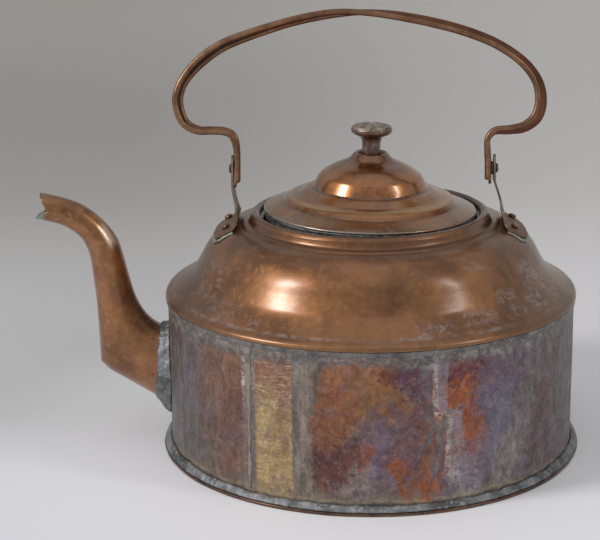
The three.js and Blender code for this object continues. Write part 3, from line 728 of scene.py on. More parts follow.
def lid_paint():
    paint = aged_copper(
        "lid_copper", (120, 68, 28), (170, 105, 46), (194, 136, 68), 0.30, coat=1.0, coat_roughness=0.15
    )
    paint.shader.inputs["Coat IOR"].default_value = 1.65
    x, y = paint.split()[:2]
    radius = paint.radius(x, y)
    close = paint.noise(6, 5, 0.66, 0.5, 2.0)
    rim = paint.step(radius, 66, 73)
    tinned = paint.times(rim, paint.step(close, 0.44, 0.58))
    paint.tint(tinned, 0.7, (134, 124, 108))
    # Pale bare tin at the flange's edge, with a painted highlight: it is kept to the left side, towards
    # the left soft box.
    bare_edge_and_highlight = paint.times(paint.step(radius, 72.9, 73.7), paint.step(x, 30, -20, 0.25, 1.0))
    paint.tint(bare_edge_and_highlight, 0.8, (172, 164, 154))
    # Painted shade darkens the hollow inside the rim and the groove at the dome's foot; the rubbed
    # ridge between them is lightened also as a painted highlight.
    for middle, half, soft, strength, shade in (
        (61, 1.0, 2.0, 0.45, (84, 52, 32)),  # hollow inside the rim
        (40.6, 0.5, 0.8, 0.6, (70, 42, 26)),  # groove at the dome's foot
        (55, 1.0, 1.5, 0.5, (206, 160, 92)),  # rubbed ridge between them
    ):
        paint.tint(paint.band(radius, middle, half, soft), strength, shade)
    golden = paint.times(paint.step(radius, 42, 48), paint.step(close, 0.46, 0.60))
    paint.tint(golden, 0.35, (140, 112, 52))
    crown = paint.times(paint.step(radius, 31, 25), paint.step(close, 0.30, 0.50, 0.5, 1.0))
    paint.tint(crown, 0.5, (96, 56, 30))
    paint.tint(paint.step(radius, 20, 15), 0.5, (118, 72, 50))
    rings = paint.noise((30, 30, 0.8), 2, 0.5, 0.0, 6.0)
    paint.normal = paint.bump(rings, 0.03, paint.normal)
    return paint.finish()


def spout_paint():
    paint = aged_copper(
        "spout_copper", (122, 78, 44), (170, 116, 69), (196, 146, 96), 0.33, size=26, coat_roughness=0.2
    )
    x, y, height = paint.split()
    red = paint.noise((22, 22, 30), 4, 0.6, 0.5, 6.0)
    paint.cover(paint.step(red, 0.52, 0.66, 0, 0.5), tone(136, 82, 64))
    paint.tint(paint.step(x, -221, -231), 0.35, (96, 84, 66))
    lime = paint.times(paint.step(x, -226, -230), paint.step(height, 168, 164))
    lime = paint.times(lime, paint.step(paint.noise(4, 4, 0.6, 0.3, 9.0), 0.36, 0.5))
    paint.tint(lime, 0.7, (142, 176, 160))
    along = paint.plus(x, paint.times(height, 0.55))
    across = paint.minus(height, paint.times(x, 0.55))
    # Painted highlight: a pale spot on the front of the spout's upper bend.
    bend = paint.times(
        paint.band(along, -102, 1, 3), paint.band(across, 250, 5, 9), paint.step(y, -2, -5)
    )
    bend = paint.times(bend, paint.step(red, 0.35, 0.55, 0.5, 1.0))
    paint.tint(bend, 0.8, (236, 206, 178))
    paint.tint(paint.step(along, -98, -82), 0.45, (84, 54, 34))
    root = paint.step(x, -160, -150)
    dusty = paint.times(root, paint.step(paint.noise(6, 5, 0.66, 0.4, 3.0), 0.5, 0.62))
    paint.tint(dusty, 0.6, (132, 118, 104))
    return paint.finish()


def handle_paint():
    paint = aged_copper(
        "handle_copper", (118, 86, 66), (156, 118, 92), (184, 148, 120), 0.36, size=22, coat=0.0
    )
    paint.shader.inputs["Metallic"].default_value = 0.85
    paint.shader.inputs["Specular Tint"].default_value = tone(150, 116, 94)
    along = paint.noise((60, 6, 60), 4, 0.6, 0.3, 8.0)
    paint.cover(paint.step(along, 0.54, 0.68, 0, 0.5), tone(104, 84, 72))
    return paint.finish()


def knob_paint():
    paint = aged_copper(
        "knob_copper", (84, 60, 48), (122, 92, 72), (156, 130, 108), 0.42, size=7
    )
    height = paint.split()[2]
    worn = paint.times(
        paint.step(height, 222.5, 225), paint.step(paint.noise(3, 5, 0.65, 0.4, 3.0), 0.40, 0.56)
    )
    paint.tint(worn, 0.8, (176, 166, 148))
    stem = paint.times(
        paint.step(height, 217, 213), paint.step(paint.noise((4, 4, 9), 5, 0.65, 0.4, 6.0), 0.45, 0.6)
    )
    paint.tint(stem, 0.6, (158, 144, 128))
    return paint.finish()


def solder_paint(name, dark, middle, pale, verdigris=0.0):
    """Rough solder, greener in spots the higher verdigris is."""
    paint = dull_metal(name, dark, middle, pale, 6, 0.5, 0.55, 0.7)
    if verdigris:
        paint.speckle(0.62 - 0.3 * verdigris, 0.66, 0.7, (116, 146, 126))
    return paint.finish()


def tin_paint(name, dark, middle, pale, green=0.0):
    """Smoother tinned sheet, greener in spots the higher green is."""
    paint = dull_metal(name, dark, middle, pale, 7, 0.46, 0.3, 0.8)
    if green:
        paint.speckle(0.64 - 0.2 * green, 0.68, 0.6, (84, 116, 100))
    return paint.finish()


def lug_paint():
    """Tinned over the strap, worn down to brown copper on the foot."""
    paint = dull_metal(
        "tinned_lug", (100, 88, 78), (142, 129, 116), (180, 171, 158), 7, 0.46, 0.3, 0.8
    )
    height = paint.split()[2]
    worn = paint.times(
        paint.step(height, 166, 160), paint.step(paint.noise(6, 6, 0.7, 0.6, 5.0), 0.38, 0.56)
    )
    paint.tint(worn, 0.85, (140, 98, 72))
    paint.speckle(0.56, 0.68, 0.5, (92, 116, 100))
    return paint.finish()


WALL_PAINT = wall_paint()
SHOULDER_PAINT = shoulder_paint()
LID_PAINT = lid_paint()
SPOUT_PAINT = spout_paint()
HANDLE_PAINT = handle_paint()
KNOB_PAINT = knob_paint()
SOLDER_PAINT = solder_paint("solder", (92, 93, 94), (138, 139, 141), (196, 197, 196))
GREEN_SOLDER_PAINT = solder_paint(
    "solder_green", (124, 124, 114), (166, 166, 154), (208, 208, 196), 0.5
)
LID_SOLDER_PAINT = solder_paint("solder_lid", (84, 86, 84), (132, 133, 128), (182, 182, 174), 0.1)
LIP_SOLDER_PAINT = solder_paint("solder_lip", (94, 92, 90), (134, 131, 127), (172, 168, 160))
SEAM_PAINT = solder_paint("seam_solder", (124, 114, 108), (160, 150, 140), (204, 196, 184))
TIN_PAINT = tin_paint("tinned_copper", (96, 84, 75), (140, 126, 114), (176, 166, 152), 0.5)
LUG_PAINT = lug_paint()
INSIDE_TIN_PAINT = tin_paint("tinned_inside", (64, 60, 58), (104, 98, 94), (140, 138, 138))
RIVET_PAINT = aged_copper("rivet_copper", (78, 48, 36), (122, 76, 54), (160, 116, 88), size=6).finish()
BASE_PAINT = aged_copper("base_copper", (70, 46, 34), (112, 76, 54), (150, 112, 84), size=24).finish()

# ---------- bottom plate and side wall ----------


def base_plate():
    outline = filleted(
        [
            (BASE_RADIUS - 1.3, 0), (BASE_RADIUS, 0.2), (BASE_RADIUS, 2.0),
            (BASE_RADIUS - 1.4, 2.3), (BASE_RADIUS - 2, 1.8), (BASE_RADIUS - 2.8, SHEET),
        ],
        0.9,
        5,
        closed=False,
    )
    flat_under = [(r, 0) for r in (0, 30, 60, 90, 120, 138)]
    flat_over = [(r, SHEET) for r in (138, 120, 90, 60, 30, 0)]
    shape = turned(flat_under + [tuple(p) for p in outline] + flat_over, LARGE_ROUND, closed=False)

    def wavy(point):
        if math.hypot(point.x, point.y) < BASE_RADIUS - 3.5:
            return Vector()
        return outward_at(point) * lumps(point, 21, 2.0) * 0.35

    return placed(moved(shape, wavy), Matrix.Translation((0, 0, -DATUM)))


WALL_LINE = [
    (WALL_RADIUS + 1.4, SHEET + GAP - DATUM), (WALL_RADIUS + 1.2, 2.9 - DATUM),
    (WALL_RADIUS + 0.6, 5 - DATUM), (WALL_RADIUS + 0.1, 8 - DATUM), (WALL_RADIUS, 14),
    (WALL_RADIUS, 20),
]


def side_wall():
    upper = [(WALL_RADIUS, 20 + (WALL_TOP - 20) * i / 30) for i in range(1, 31)]
    outer = spline(WALL_LINE, 4) + [Vector(p) for p in upper]
    shape = turned(filleted(sheet_profile(outer, SHEET), 0.4, 2), LARGE_ROUND)

    def uneven(point):
        flat = outward_at(point)
        free = min(1, max(0, (point.z - 12) / 20), max(0, (WALL_TOP - point.z) / 12))
        wave = lumps(point, 46, 3.0) + 0.45 * lumps(point, 17, 8.0)
        return flat * 0.22 * wave * free

    return moved(shape, uneven)


def spout_hole():
    steps = 48
    rings = []
    for x in (-WALL_RADIUS - 12, -WALL_RADIUS + 12):
        rings.append(
            [
                Vector((x, 14 * math.cos(a), 50 + 20 * math.sin(a)))
                for a in (2 * math.pi * i / steps for i in range(steps))
            ]
        )
    return skinned(rings)


def base_solder():
    foot = 2.45
    profile = filleted(
        [
            (WALL_RADIUS + 1.7, foot), (BASE_RADIUS - 0.7, foot), (BASE_RADIUS - 0.9, 3.3),
            (WALL_RADIUS + 3.4, 4.6), (WALL_RADIUS + 1.6, 6.2), (WALL_RADIUS + 0.3, 6.4),
            (WALL_RADIUS + 0.6, 5.2),
        ],
        0.7,
        4,
    )
    shape = turned(profile, 900)

    def rough(point):
        if point.z < foot + 0.3:
            return Vector()
        flat = outward_at(point)
        flow = 0.5 + lumps(flat * BASE_RADIUS, 40, 12.0)
        bumps = 0.3 * lumps(point, 7, 4.0) + 0.12 * lumps(point, 2.4, 8.0)
        swell = 0.5 * lumps(point, 24, 1.0) + flow * bumps
        share = max(0, (point.z - foot) / 4)
        side = abs(flat.x) ** 4
        rise = 1.0 * lumps(flat * BASE_RADIUS, 11, 6.0) + 0.5 * lumps(flat * BASE_RADIUS, 4, 2.0)
        return flat * min(swell, 0.5) * 0.7 + Vector((0, 0, (rise + 2.2 * side - 0.4) * share))

    return placed(moved(shape, rough), Matrix.Translation((0, 0, -DATUM)))


def wall_seam():
    """The raised line of solder down the lap joint, with uneven edges."""
    middle = math.radians(-123.5)
    bottom, top = 8.4 - DATUM, 103.6
    stations, columns = 140, 13
    rows = []
    for i in range(stations):
        height = bottom + (top - bottom) * i / (stations - 1)
        upper_half = min(1, max(0, (height - 60) / 18))
        width = 1.0 + 1.3 * upper_half + 0.9 * lumps((0, 0, height), 6, 2.0)
        sway = 0.5 * lumps((0, 0, height), 16, 5.0)
        row = []
        for j in range(columns):
            share = j / (columns // 2) - 1
            angle = middle + (share * width + sway) / WALL_RADIUS
            crown = (1 - share**2) ** 0.7 if abs(share) < 1 else 0
            spot = Vector((share * 4, 9, height))
            lump = 0.75 + 0.6 * lumps(spot, 4.5, 3.0) * (0.4 + upper_half)
            rise = 0.05 + 0.6 * crown * max(0.2, lump) * (0.2 + 0.85 * upper_half)
            direction = Vector((math.cos(angle), math.sin(angle), 0))
            base = Vector((0, 0, height))
            reaches = WALL_RADIUS + GAP + rise, WALL_RADIUS + 0.1
            row.append([base + direction * reach for reach in reaches])
        rows.append(row)
    return double_sheet(rows)


piece("base_plate", base_plate(), BASE_PAINT)
wall = piece("side_wall", side_wall(), WALL_PAINT)
cut_away(wall, spout_hole())
piece("base_seam_solder", base_solder(), SOLDER_PAINT, 70)
piece("wall_seam_solder", wall_seam(), SEAM_PAINT, 70)

# ---------- shoulder ----------

OGEE = spline(
    [
        (144.0, 109.2), (143.3, 110.6), (141.4, 112), (137, 114.3), (130, 119.2),
        (124.8, 124), (121.4, 129), (118.3, 134.4), (114, 142), (108, 149), (101, 154),
        (94, 156.4), (90.2, 157.2),
    ],
    7,
)
MOUTH_RING = filleted(
    [
        (90.2, 157.2), (88.6, 158.4), (86.4, 158.9), (84.7, 159.4), (83.8, 161.4), (83.2, 163.8),
        (81.8, 165.6), (79.6, 166.3), (77.2, 165.5), (76.4, LEDGE_HEIGHT),
        (MOUTH_RADIUS, LEDGE_HEIGHT - 0.4), (MOUTH_RADIUS, 152),
    ],
    1.6,
    5,
    closed=False,
)


def shoulder_height(radius):
    """Height of the shoulder's outer face at a distance from the axis."""
    for inner, outer in zip(OGEE[1:], OGEE):
        if inner.x <= radius:
            share = (radius - outer.x) / (inner.x - outer.x)
            return outer.y + (inner.y - outer.y) * share
    return OGEE[-1].y


def off_shoulder(x, y, height):
    """A point a given height off the shoulder's face, measured square to it."""
    radius = math.hypot(x, y)
    slope = shoulder_height(radius + 0.6) - shoulder_height(radius - 0.6)
    slope /= 1.2
    normal = Vector((-slope * x / radius, -slope * y / radius, 1)).normalized()
    return Vector((x, y, shoulder_height(radius))) + normal * height


def shoulder():
    lip = [Vector((144, LIP_BOTTOM)), Vector((144.2, LIP_BOTTOM + 0.7))]
    outer = lip + OGEE + MOUTH_RING[1:]
    profile = filleted(sheet_profile(outer, SHEET), 0.4, 2)
    return moved(turned(profile, LARGE_ROUND), dented(0.3, 30, 4.0))


def shoulder_solder():
    inner = WALL_RADIUS + GAP
    profile = filleted(
        [
            (inner, LIP_BOTTOM - 3.9), (inner + 0.5, LIP_BOTTOM - 3.6),
            (inner + 1.1, LIP_BOTTOM - 1.8), (inner + 1.2, LIP_BOTTOM - GAP),
            (inner, LIP_BOTTOM - GAP),
        ],
        0.4,
        3,
    )

    def rough(point):
        if point.z > LIP_BOTTOM - 0.6:
            return Vector()
        flat = outward_at(point)
        sag = (LIP_BOTTOM - 0.6 - point.z) / 4
        drop = 1.6 * lumps(flat * WALL_RADIUS, 12, 7.0) + 0.8 * lumps(flat * WALL_RADIUS, 4, 2.0)
        swell = 0.25 * lumps(point, 5, 3.0)
        return flat * max(swell, -0.15) + Vector((0, 0, drop * sag))

    return moved(turned(profile, 720), rough)


piece("shoulder", shoulder(), SHOULDER_PAINT)
piece("shoulder_seam_solder", shoulder_solder(), LIP_SOLDER_PAINT, 70)

# ---------- spout ----------

# The spout's two outlines as x and height, and its half width at each pair of their points.
SPOUT_BACK = [
    (-137, 79.6), (-146, 79.7), (-152.5, 82), (-158.5, 87), (-163, 93), (-166, 99),
    (-168, 104.5), (-169.8, 111.5), (-172, 120.5), (-174.5, 131.5), (-178, 143.5),
    (-183.5, 152.5), (-191.5, 161.3), (-201.4, 168.6), (-212.4, 173.2), (-225.8, 176.7),
    (-231.5, 177.6),
]
SPOUT_FRONT = [
    (-137, 20.4), (-150, 28.2), (-163.4, 36.1), (-175, 43), (-186, 49.6), (-192.6, 56),
    (-192.8, 68), (-193.2, 83), (-193.9, 99), (-195.3, 115), (-197, 130.5), (-199.6, 140),
    (-204, 147.2), (-210.6, 152.4), (-217.7, 156), (-227.5, 158.6), (-234.6, 160),
]
SPOUT_HALF_WIDTH = [
    22, 21.5, 20.5, 19.5, 18.5, 17.5, 16.4, 15.2, 14.1, 13, 12, 11.2, 10.5, 10, 9.8, 10, 10.4,
]
SPOUT_CORNER = 5
SPOUT_FLAT = 0.955  # the front is flat where the oval would pass this share of its reach
SPOUT_STEPS = 6
SPOUT_FACETS = 72
COLLAR_FACETS = 220
COLLAR_START = -137  # inside the wall


def spout_lines():
    back = spline(SPOUT_BACK, SPOUT_STEPS)
    lower = spline(SPOUT_FRONT[: SPOUT_CORNER + 1], SPOUT_STEPS)
    upper = spline(SPOUT_FRONT[SPOUT_CORNER:], SPOUT_STEPS)
    widths = spline([(w, 0) for w in SPOUT_HALF_WIDTH], SPOUT_STEPS)
    return back, lower[:-1] + upper, [w.x for w in widths]


def spout_ring(back, front, half_width, inset, facets):
    middle = Vector(((back.x + front.x) / 2, 0, (back.y + front.y) / 2))
    to_front = Vector((front.x, 0, front.y)) - middle
    reach = to_front.length - inset
    to_front.normalize()
    ring = []
    for i in range(facets):
        angle = 2 * math.pi * i / facets
        forward = min(math.cos(angle) / SPOUT_FLAT, 1)
        ring.append(
            middle + to_front * forward * reach + Vector((0, math.sin(angle) * (half_width - inset), 0))
        )
    return ring


def spout():
    back, front, widths = spout_lines()
    outer, inner = [], []
    for stations in zip(back, front, widths):
        outer.append(spout_ring(*stations, 0, SPOUT_FACETS))
        inner.append(spout_ring(*stations, SHEET, SPOUT_FACETS))
    return skinned(outer + inner[::-1], capped=False)


def tip_notch():
    outline = [(-225, 166.5), (-240, 158.5), (-240, 192), (-232.3, 180)]
    return skinned([[Vector((x, y, z)) for x, z in outline] for y in (-20, 20)])


def wall_trim():
    radius = WALL_RADIUS + GAP
    return turned([(0, -10), (radius, -10), (radius, 140), (0, 140)], LARGE_ROUND, closed=False)


def spout_solder():
    """A lumpy collar from the wall out along the spout."""
    sections = [
        ((COLLAR_START, 83.6), (COLLAR_START, 14.6), 26.4),
        ((-141, 83.4), (-141, 16.6), 26.2),
        ((-144, 82.6), (-146.4, 20.8), 25.2),
        ((-146.4, 81.8), (-149.8, 25.2), 24),
        ((-148.5, 81.4), (-153, 29.4), 22.8),
    ]
    levels = spline([(*a, *b, w) for a, b, w in sections], 5)
    outer, inner = [], []
    for level in levels:
        back, front, half_width = Vector(level[:2]), Vector(level[2:4]), level[4]
        outer.append(spout_ring(back, front, half_width, 0, COLLAR_FACETS))
        share = (level[0] - COLLAR_START) / -11.5
        spout_face = spout_ring(
            Vector((COLLAR_START - 11 * share, 79.7 + 0.3 * share)),
            Vector((COLLAR_START - 15.6 * share, 20.4 + 9.2 * share)),
            22 - 0.7 * share,
            -0.15,
            COLLAR_FACETS,
        )
        inner.append(spout_face)
    points, faces = skinned(outer + inner[::-1], capped=False)
    outer_count = len(levels) * COLLAR_FACETS

    def rough(index, point):
        if index >= outer_count:
            return point
        centre = Vector((point.x, 0, 50))
        outward = (point - centre).normalized()
        swell = 0.9 * lumps(point, 7, 1.0) + 0.6 * lumps(point, 2.8, 4.0)
        edge = min(1, (index // COLLAR_FACETS) / 3)
        creep = 1.6 * lumps(point, 6, 9.0) * edge
        return point + outward * swell * 0.9 + Vector((creep, 0, 0))

    return [rough(i, p) for i, p in enumerate(points)], faces


body_spout = piece("spout", spout(), SPOUT_PAINT, 30)
cut_away(body_spout, wall_trim())
cut_away(body_spout, tip_notch())
collar = piece("spout_solder", spout_solder(), SOLDER_PAINT, 70)
cut_away(collar, wall_trim())

# ---------- lugs and rivets ----------

LUG_LINES = {
    "left": [
        (LEFT_LUG, LUG_TOP), (LEFT_LUG, 181), (-94.2, 175), (-92.9, 168), (-92.3, 162.5),
        (-92.4, LUG_FOLD),
    ],
    "right": [
        (RIGHT_LUG, LUG_TOP), (RIGHT_LUG, 186.5), (89.3, 176.5), (91.6, 168.5), (92.6, 163),
        (93, LUG_FOLD),
    ],
}
LUG_COLUMNS = 25
LUG_ROUND = LUG_TOP - LUG_HALF_WIDTH  # level of the middle of the strap's round top


def upright_half_width(height):
    if height > LUG_ROUND:
        return max(math.sqrt(max(LUG_HALF_WIDTH**2 - (height - LUG_ROUND) ** 2, 0)), 1.2)
    flare = min(max((176 - height) / (176 - LUG_FOLD), 0), 1)
    return LUG_HALF_WIDTH + (FOOT_HALF_WIDTH - LUG_HALF_WIDTH) * flare**2.4


def lug(name, side):
    """A strap that flares into a foot lying on the shoulder."""
    rows = []
    line = LUG_LINES[name]
    columns = [2 * i / (LUG_COLUMNS - 1) - 1 for i in range(LUG_COLUMNS)]
    heights = [LUG_TOP - LUG_HALF_WIDTH * (1 - math.cos(math.pi / 2 * i / 8)) for i in range(8)]
    heights += [LUG_ROUND - (LUG_ROUND - LUG_FOLD - 1) * i / 40 for i in range(41)]
    for height in heights:
        for (x0, z0), (x1, z1) in zip(line, line[1:]):
            if z0 >= height >= z1:
                break
        x = x0 + (x1 - x0) * (height - z0) / (z1 - z0)
        outward = Vector((side * (z0 - z1), 0, side * (x1 - x0))).normalized()
        row = []
        for column in columns:
            middle = Vector((x, column * upright_half_width(height), height))
            middle += outward * 0.25 * lumps(middle, 12, 3.0 + side)
            row.append((middle + outward * LUG_SHEET / 2, middle - outward * LUG_SHEET / 2))
        rows.append(row)
    foot = spline(
        [(95.2, 0, 26), (98, 0.35, 26), (101, 0.65, 26), (104.5, 1, 25.4), (106.6, 1, 24),
         (FOOT_OUTER_RADIUS, 1, 21.5)],
        4,
    )
    for reach, bend, half_width in foot:
        row = []
        for column in columns:
            y = column * half_width
            arc = math.sqrt(reach**2 - y**2)
            x = side * (reach + (arc - reach) * bend)
            rise = GAP + 0.1 + 0.15 * (1 + lumps((x, y, 0), 9, 5.0))
            row.append((off_shoulder(x, y, rise + LUG_SHEET), off_shoulder(x, y, rise)))
        rows.append(row)
    return double_sheet(rows)


def lug_solder(side):
    """The uneven bead of solder round the open edges of a foot."""
    clear = 1.3
    edge = FOOT_HALF_WIDTH + clear
    outer = FOOT_OUTER_RADIUS + clear + 0.2
    along = [(94, -edge), (99, -edge), (103, -edge + 0.2), (105.2, -edge + 2.6)]
    arc = [(math.sqrt(outer**2 - y**2), y) for y in (-20, -10, 0, 10, 20)]
    path = along + arc + [(x, -y) for x, y in along[::-1]]
    line = spline([off_shoulder(side * x, y, 0.55) for x, y in path], 22)
    rings = []
    for i, centre in enumerate(line):
        ahead = direction_at(line, i)
        seat = off_shoulder(centre.x, centre.y, 0)
        upward = (off_shoulder(centre.x, centre.y, 1) - seat).normalized()
        sideways = ahead.cross(upward).normalized()
        width = 1.25 + 0.45 * lumps(centre, 5, 2.0) + 0.25 * lumps(centre, 1.8, 6.0)
        tall = 0.75 + 0.3 * lumps(centre, 4, 7.0)
        rings.append(
            [
                centre
                + sideways * width * math.cos(2 * math.pi * k / 16)
                + upward * tall * math.sin(2 * math.pi * k / 16)
                for k in range(16)
            ]
        )
    return skinned(rings)


def rivet(grip, head_radius, head_height, tail_radius, seed):
    """A hammered rivet along +Z, with the seat of its outer head at height 0."""
    tail = 1.3
    profile = filleted(
        [
            (0, -grip - tail), (tail_radius * 0.7, -grip - tail),
            (tail_radius, -grip - tail * 0.4), (tail_radius, -grip), (RIVET_SHANK, -grip),
            (RIVET_SHANK, 0), (head_radius, 0), (head_radius, head_height * 0.55),
            (head_radius * 0.72, head_height * 0.92), (0, head_height),
        ],
        0.45,
        3,
        closed=False,
    )

    def beaten(point):
        if point.z < 0.1 and point.z > -grip - 0.1:
            return Vector()
        x, y = lumps(point, 3, seed), lumps(point, 3, seed + 4)
        return Vector((x, y, lumps(point, 2.4, seed + 8))) * 0.22

    return moved(turned(profile, SMALL_ROUND, closed=False), beaten)


def facing(direction):
    return Vector((0, 0, 1)).rotation_difference(direction).to_matrix().to_4x4()


for lug_name, lug_side in (("left", -1), ("right", 1)):
    strip = lug(lug_name, lug_side)
    made = piece(lug_name + "_lug", strip, LUG_PAINT, 60)
    softened(made, 0.35)
    bead = lug_solder(lug_side)
    piece(lug_name + "_lug_solder", bead, GREEN_SOLDER_PAINT, 70)
    for depth, place in ((-1, "front"), (1, "back")):
        foot_y = depth * FOOT_RIVET_SIDE
        foot_x = lug_side * math.sqrt(FOOT_RIVET_RADIUS**2 - foot_y**2)
        seat = off_shoulder(foot_x, foot_y, 0)
        up = off_shoulder(foot_x, foot_y, 1) - seat
        head_seat = GAP + 0.1 + LUG_SHEET + GAP
        shape = rivet(head_seat + SHEET + 3 * GAP, 2.8, 2.4, 3.2, 3.0 * lug_side + depth)
        matrix = Matrix.Translation(seat + up * head_seat) @ facing(up)
        piece(
            f"{lug_name}_lug_rivet_{place}", placed(shape, matrix), RIVET_PAINT
        )

for pivot_name, lug_face, leg, pivot_side in (
    ("left", LEFT_LUG - LUG_SHEET / 2, LEFT_LEG, -1),
    ("right", RIGHT_LUG + LUG_SHEET / 2, RIGHT_LEG, 1),
):
    pivot_seat = lug_face + pivot_side * GAP
    web_face = leg + pivot_side * (STRAP_DEPTH / 2 - WEB)
    shape = rivet(abs(pivot_seat - web_face) + GAP, 3.2, 1.7, 3.1, 9.0 + pivot_side)
    matrix = Matrix.Translation((pivot_seat, 0, PIVOT_HEIGHT)) @ facing(Vector((pivot_side, 0, 0)))
    piece(
        pivot_name + "_pivot_rivet", placed(shape, matrix), RIVET_PAINT
    )

washer_inner = RIGHT_LEG + STRAP_DEPTH / 2 + GAP
washer_thickness = RIGHT_LUG - LUG_SHEET / 2 - GAP - washer_inner
washer = turned(
    filleted(
        [(2.2, 0), (4.6, 0), (4.6, washer_thickness), (2.2, washer_thickness)], 0.25, 3
    ),
    SMALL_ROUND,
)
washer_matrix = Matrix.Translation((washer_inner, 0, PIVOT_HEIGHT)) @ facing(Vector((1, 0, 0)))
piece("right_pivot_washer", placed(washer, washer_matrix), TIN_PAINT)

# ---------- handle ----------

# Stations of the handle as x, height over the hinge, width and twist in degrees.
HANDLE_LINE = [
    (LEFT_LEG, -13, 8, 0), (LEFT_LEG, -11, 11.5, 0), (LEFT_LEG, -6, STRAP_END_WIDTH, 0),
    (LEFT_LEG, 0, STRAP_END_WIDTH, 0), (LEFT_LEG, 5.5, STRAP_END_WIDTH, 0),
    (LEFT_LEG - 0.2, 13, 13.5, 0), (LEFT_LEG - 1.4, 19.6, 14.5, -4), (-96.5, 24.2, 15, -8),
    (-102.4, 26.2, 16, -9), (-110, 26.5, 16.5, -9), (-120, 26.9, 17, -9),
    (-128.7, 32.2, STRAP_WIDTH, -9), (-132.8, 42.4, STRAP_WIDTH, -9),
    (-133.1, 50.8, STRAP_WIDTH, -9), (-129.3, 60.8, STRAP_WIDTH, -8),
    (-119, 73.2, STRAP_WIDTH, -12), (-103, 84.6, STRAP_WIDTH, -12), (-82, 93, STRAP_WIDTH, -9),
    (-54.3, 101.4, STRAP_WIDTH, -6), (-26.9, 106.6, STRAP_WIDTH, -4), (-3, 107.5, STRAP_WIDTH, 7),
    (25, 104.2, STRAP_WIDTH, 15), (56, 97.2, STRAP_WIDTH, 17), (83.5, 87.4, STRAP_WIDTH, 17),
    (103.9, 74.4, STRAP_WIDTH, 18), (114.9, 60.6, STRAP_WIDTH, 20), (118, 47, STRAP_WIDTH, 22),
    (115.3, 35.4, STRAP_WIDTH, 21), (107.2, 28.4, 17, 15), (97, 26.3, 16, 10), (86.4, 25.4, 15, 6),
    (81.5, 20, 14, 4), (RIGHT_LEG - 0.4, 13, 13.5, 1), (RIGHT_LEG, 5, STRAP_END_WIDTH, 0),
    (RIGHT_LEG, 0, STRAP_END_WIDTH, 0), (RIGHT_LEG, -6, STRAP_END_WIDTH, 0),
    (RIGHT_LEG, -9, 11.5, 0), (RIGHT_LEG, -11, 8, 0),
]
HANDLE_STEPS = 12  # between each two stations of the line
BEAD_FACETS = 14


def strap_section(width, bead):
    """The strap's outline as (across, outward): two curled edges joined by a thin web."""
    outer = STRAP_DEPTH / 2
    centre = width / 2 - bead
    top, bottom = outer - 0.25, outer - 0.25 - WEB
    outline = []
    for side in (-1, 1):
        arc = []
        for i in range(BEAD_FACETS + 1):
            angle = math.radians(70 - 250 * i / BEAD_FACETS)
            across = side * (centre + bead * math.cos(angle))
            arc.append((across, outer - bead + bead * math.sin(angle)))
        arc.append((side * (centre - bead * 0.98), bottom))
        web = [(side * (centre - bead) * share, bottom) for share in (0.9, 0.5)]
        roof = [(side * (centre - bead * 0.2) * share, top) for share in (0.5, 0.92)]
        path = roof + arc + web
        outline.append(path)
    left, right = outline
    return [*left, *right[::-1]]


def handle_strap():
    line = spline([station[:2] for station in HANDLE_LINE], HANDLE_STEPS)
    sizes = spline([station[2:] for station in HANDLE_LINE], HANDLE_STEPS)
    last = len(HANDLE_LINE) - 1
    rings = []
    for i, (point, size) in enumerate(zip(line, sizes)):
        ahead = direction_at(line, i)
        along = Vector((ahead.x, 0, ahead.y))
        outward = Vector((-along.z, 0, along.x))
        front = Vector((0, -1, 0))
        twist = math.radians(size.y)
        turned_out = outward * math.cos(twist) + front * math.sin(twist)
        turned_front = front * math.cos(twist) - outward * math.sin(twist)
        spot = Vector((point.x, 0, point.y))
        tip = min(i / HANDLE_STEPS, last - i / HANDLE_STEPS)
        full = min(max((tip - 1.15) / 0.35, 0), 1)
        bead = 0.72 + (STRAP_DEPTH / 2 - 0.72) * full
        bead *= 1 + 0.04 * lumps(spot, 14, 2.0)
        width = size.x + 0.35 * lumps(spot, 24, 5.0)
        rings.append(
            [
                spot + turned_front * across + turned_out * (out + 0.15 * lumps(spot, 30, 8.0))
                for across, out in strap_section(width, bead)
            ]
        )
    return skinned(rings)


def strap_hole(x):
    """The hole for a hinge rivet across the web of a leg."""
    hole = turned([(0, -8), (2.12, -8), (2.12, 8), (0, 8)], 24, closed=False)
    return placed(hole, Matrix.Translation((x, 0, 0)) @ Matrix.Rotation(math.radians(90), 4, "Y"))


handle_matrix = Matrix.Translation((0, 0, PIVOT_HEIGHT)) @ Matrix.Rotation(
    math.radians(-HANDLE_LEAN), 4, "X"
)
strap = piece(
    "handle_strap", placed(handle_strap(), handle_matrix), HANDLE_PAINT, 50, "handle"
)
strap.data.materials.append(INSIDE_TIN_PAINT)
section_points = len(strap_section(STRAP_WIDTH, 1))
for polygon in strap.data.polygons:
    if abs(polygon.index % section_points - section_points / 2 + 0.5) < 3:
        polygon.material_index = 1
for leg in (LEFT_LEG, RIGHT_LEG):
    cut_away(strap, placed(strap_hole(leg), handle_matrix))

# ---------- lid ----------

LID_DOME = spline([(39.6, 182.8), (36.9, 188.4), (34.2, 191.9), (26.6, 196.8), (19.5, 200)], 8)
LID_LINE = (
    filleted(
        [
            (LID_RADIUS, 166.6), (LID_RADIUS - 0.2, 167.5), (70, 168.9), (63.6, 171.2),
            (60.8, 172.3), (57.6, 175.3), (54.4, 176.8), (49.8, 177.7), (46.4, 179.8),
            (43.4, 181.6), (41, 181.9), (39.6, 182.8),
        ],
        2,
        6,
        closed=False,
    )
    + LID_DOME[1:-1]
    + filleted(
        [
            (19.5, 200), (16, 201.6), (13.8, 203.4), (12.4, 205.4), (10.7, 206.9), (9.3, 205.6),
            (8.9, 203.2), (4.3, 203),
        ],
        1.2,
        5,
        closed=False,
    )
)


def lid_cover():
    profile = filleted(sheet_profile(LID_LINE, 1.1), 0.35, 2)
    return moved(turned(profile, MEDIUM_ROUND), dented(0.16, 26, 6.0, 120))


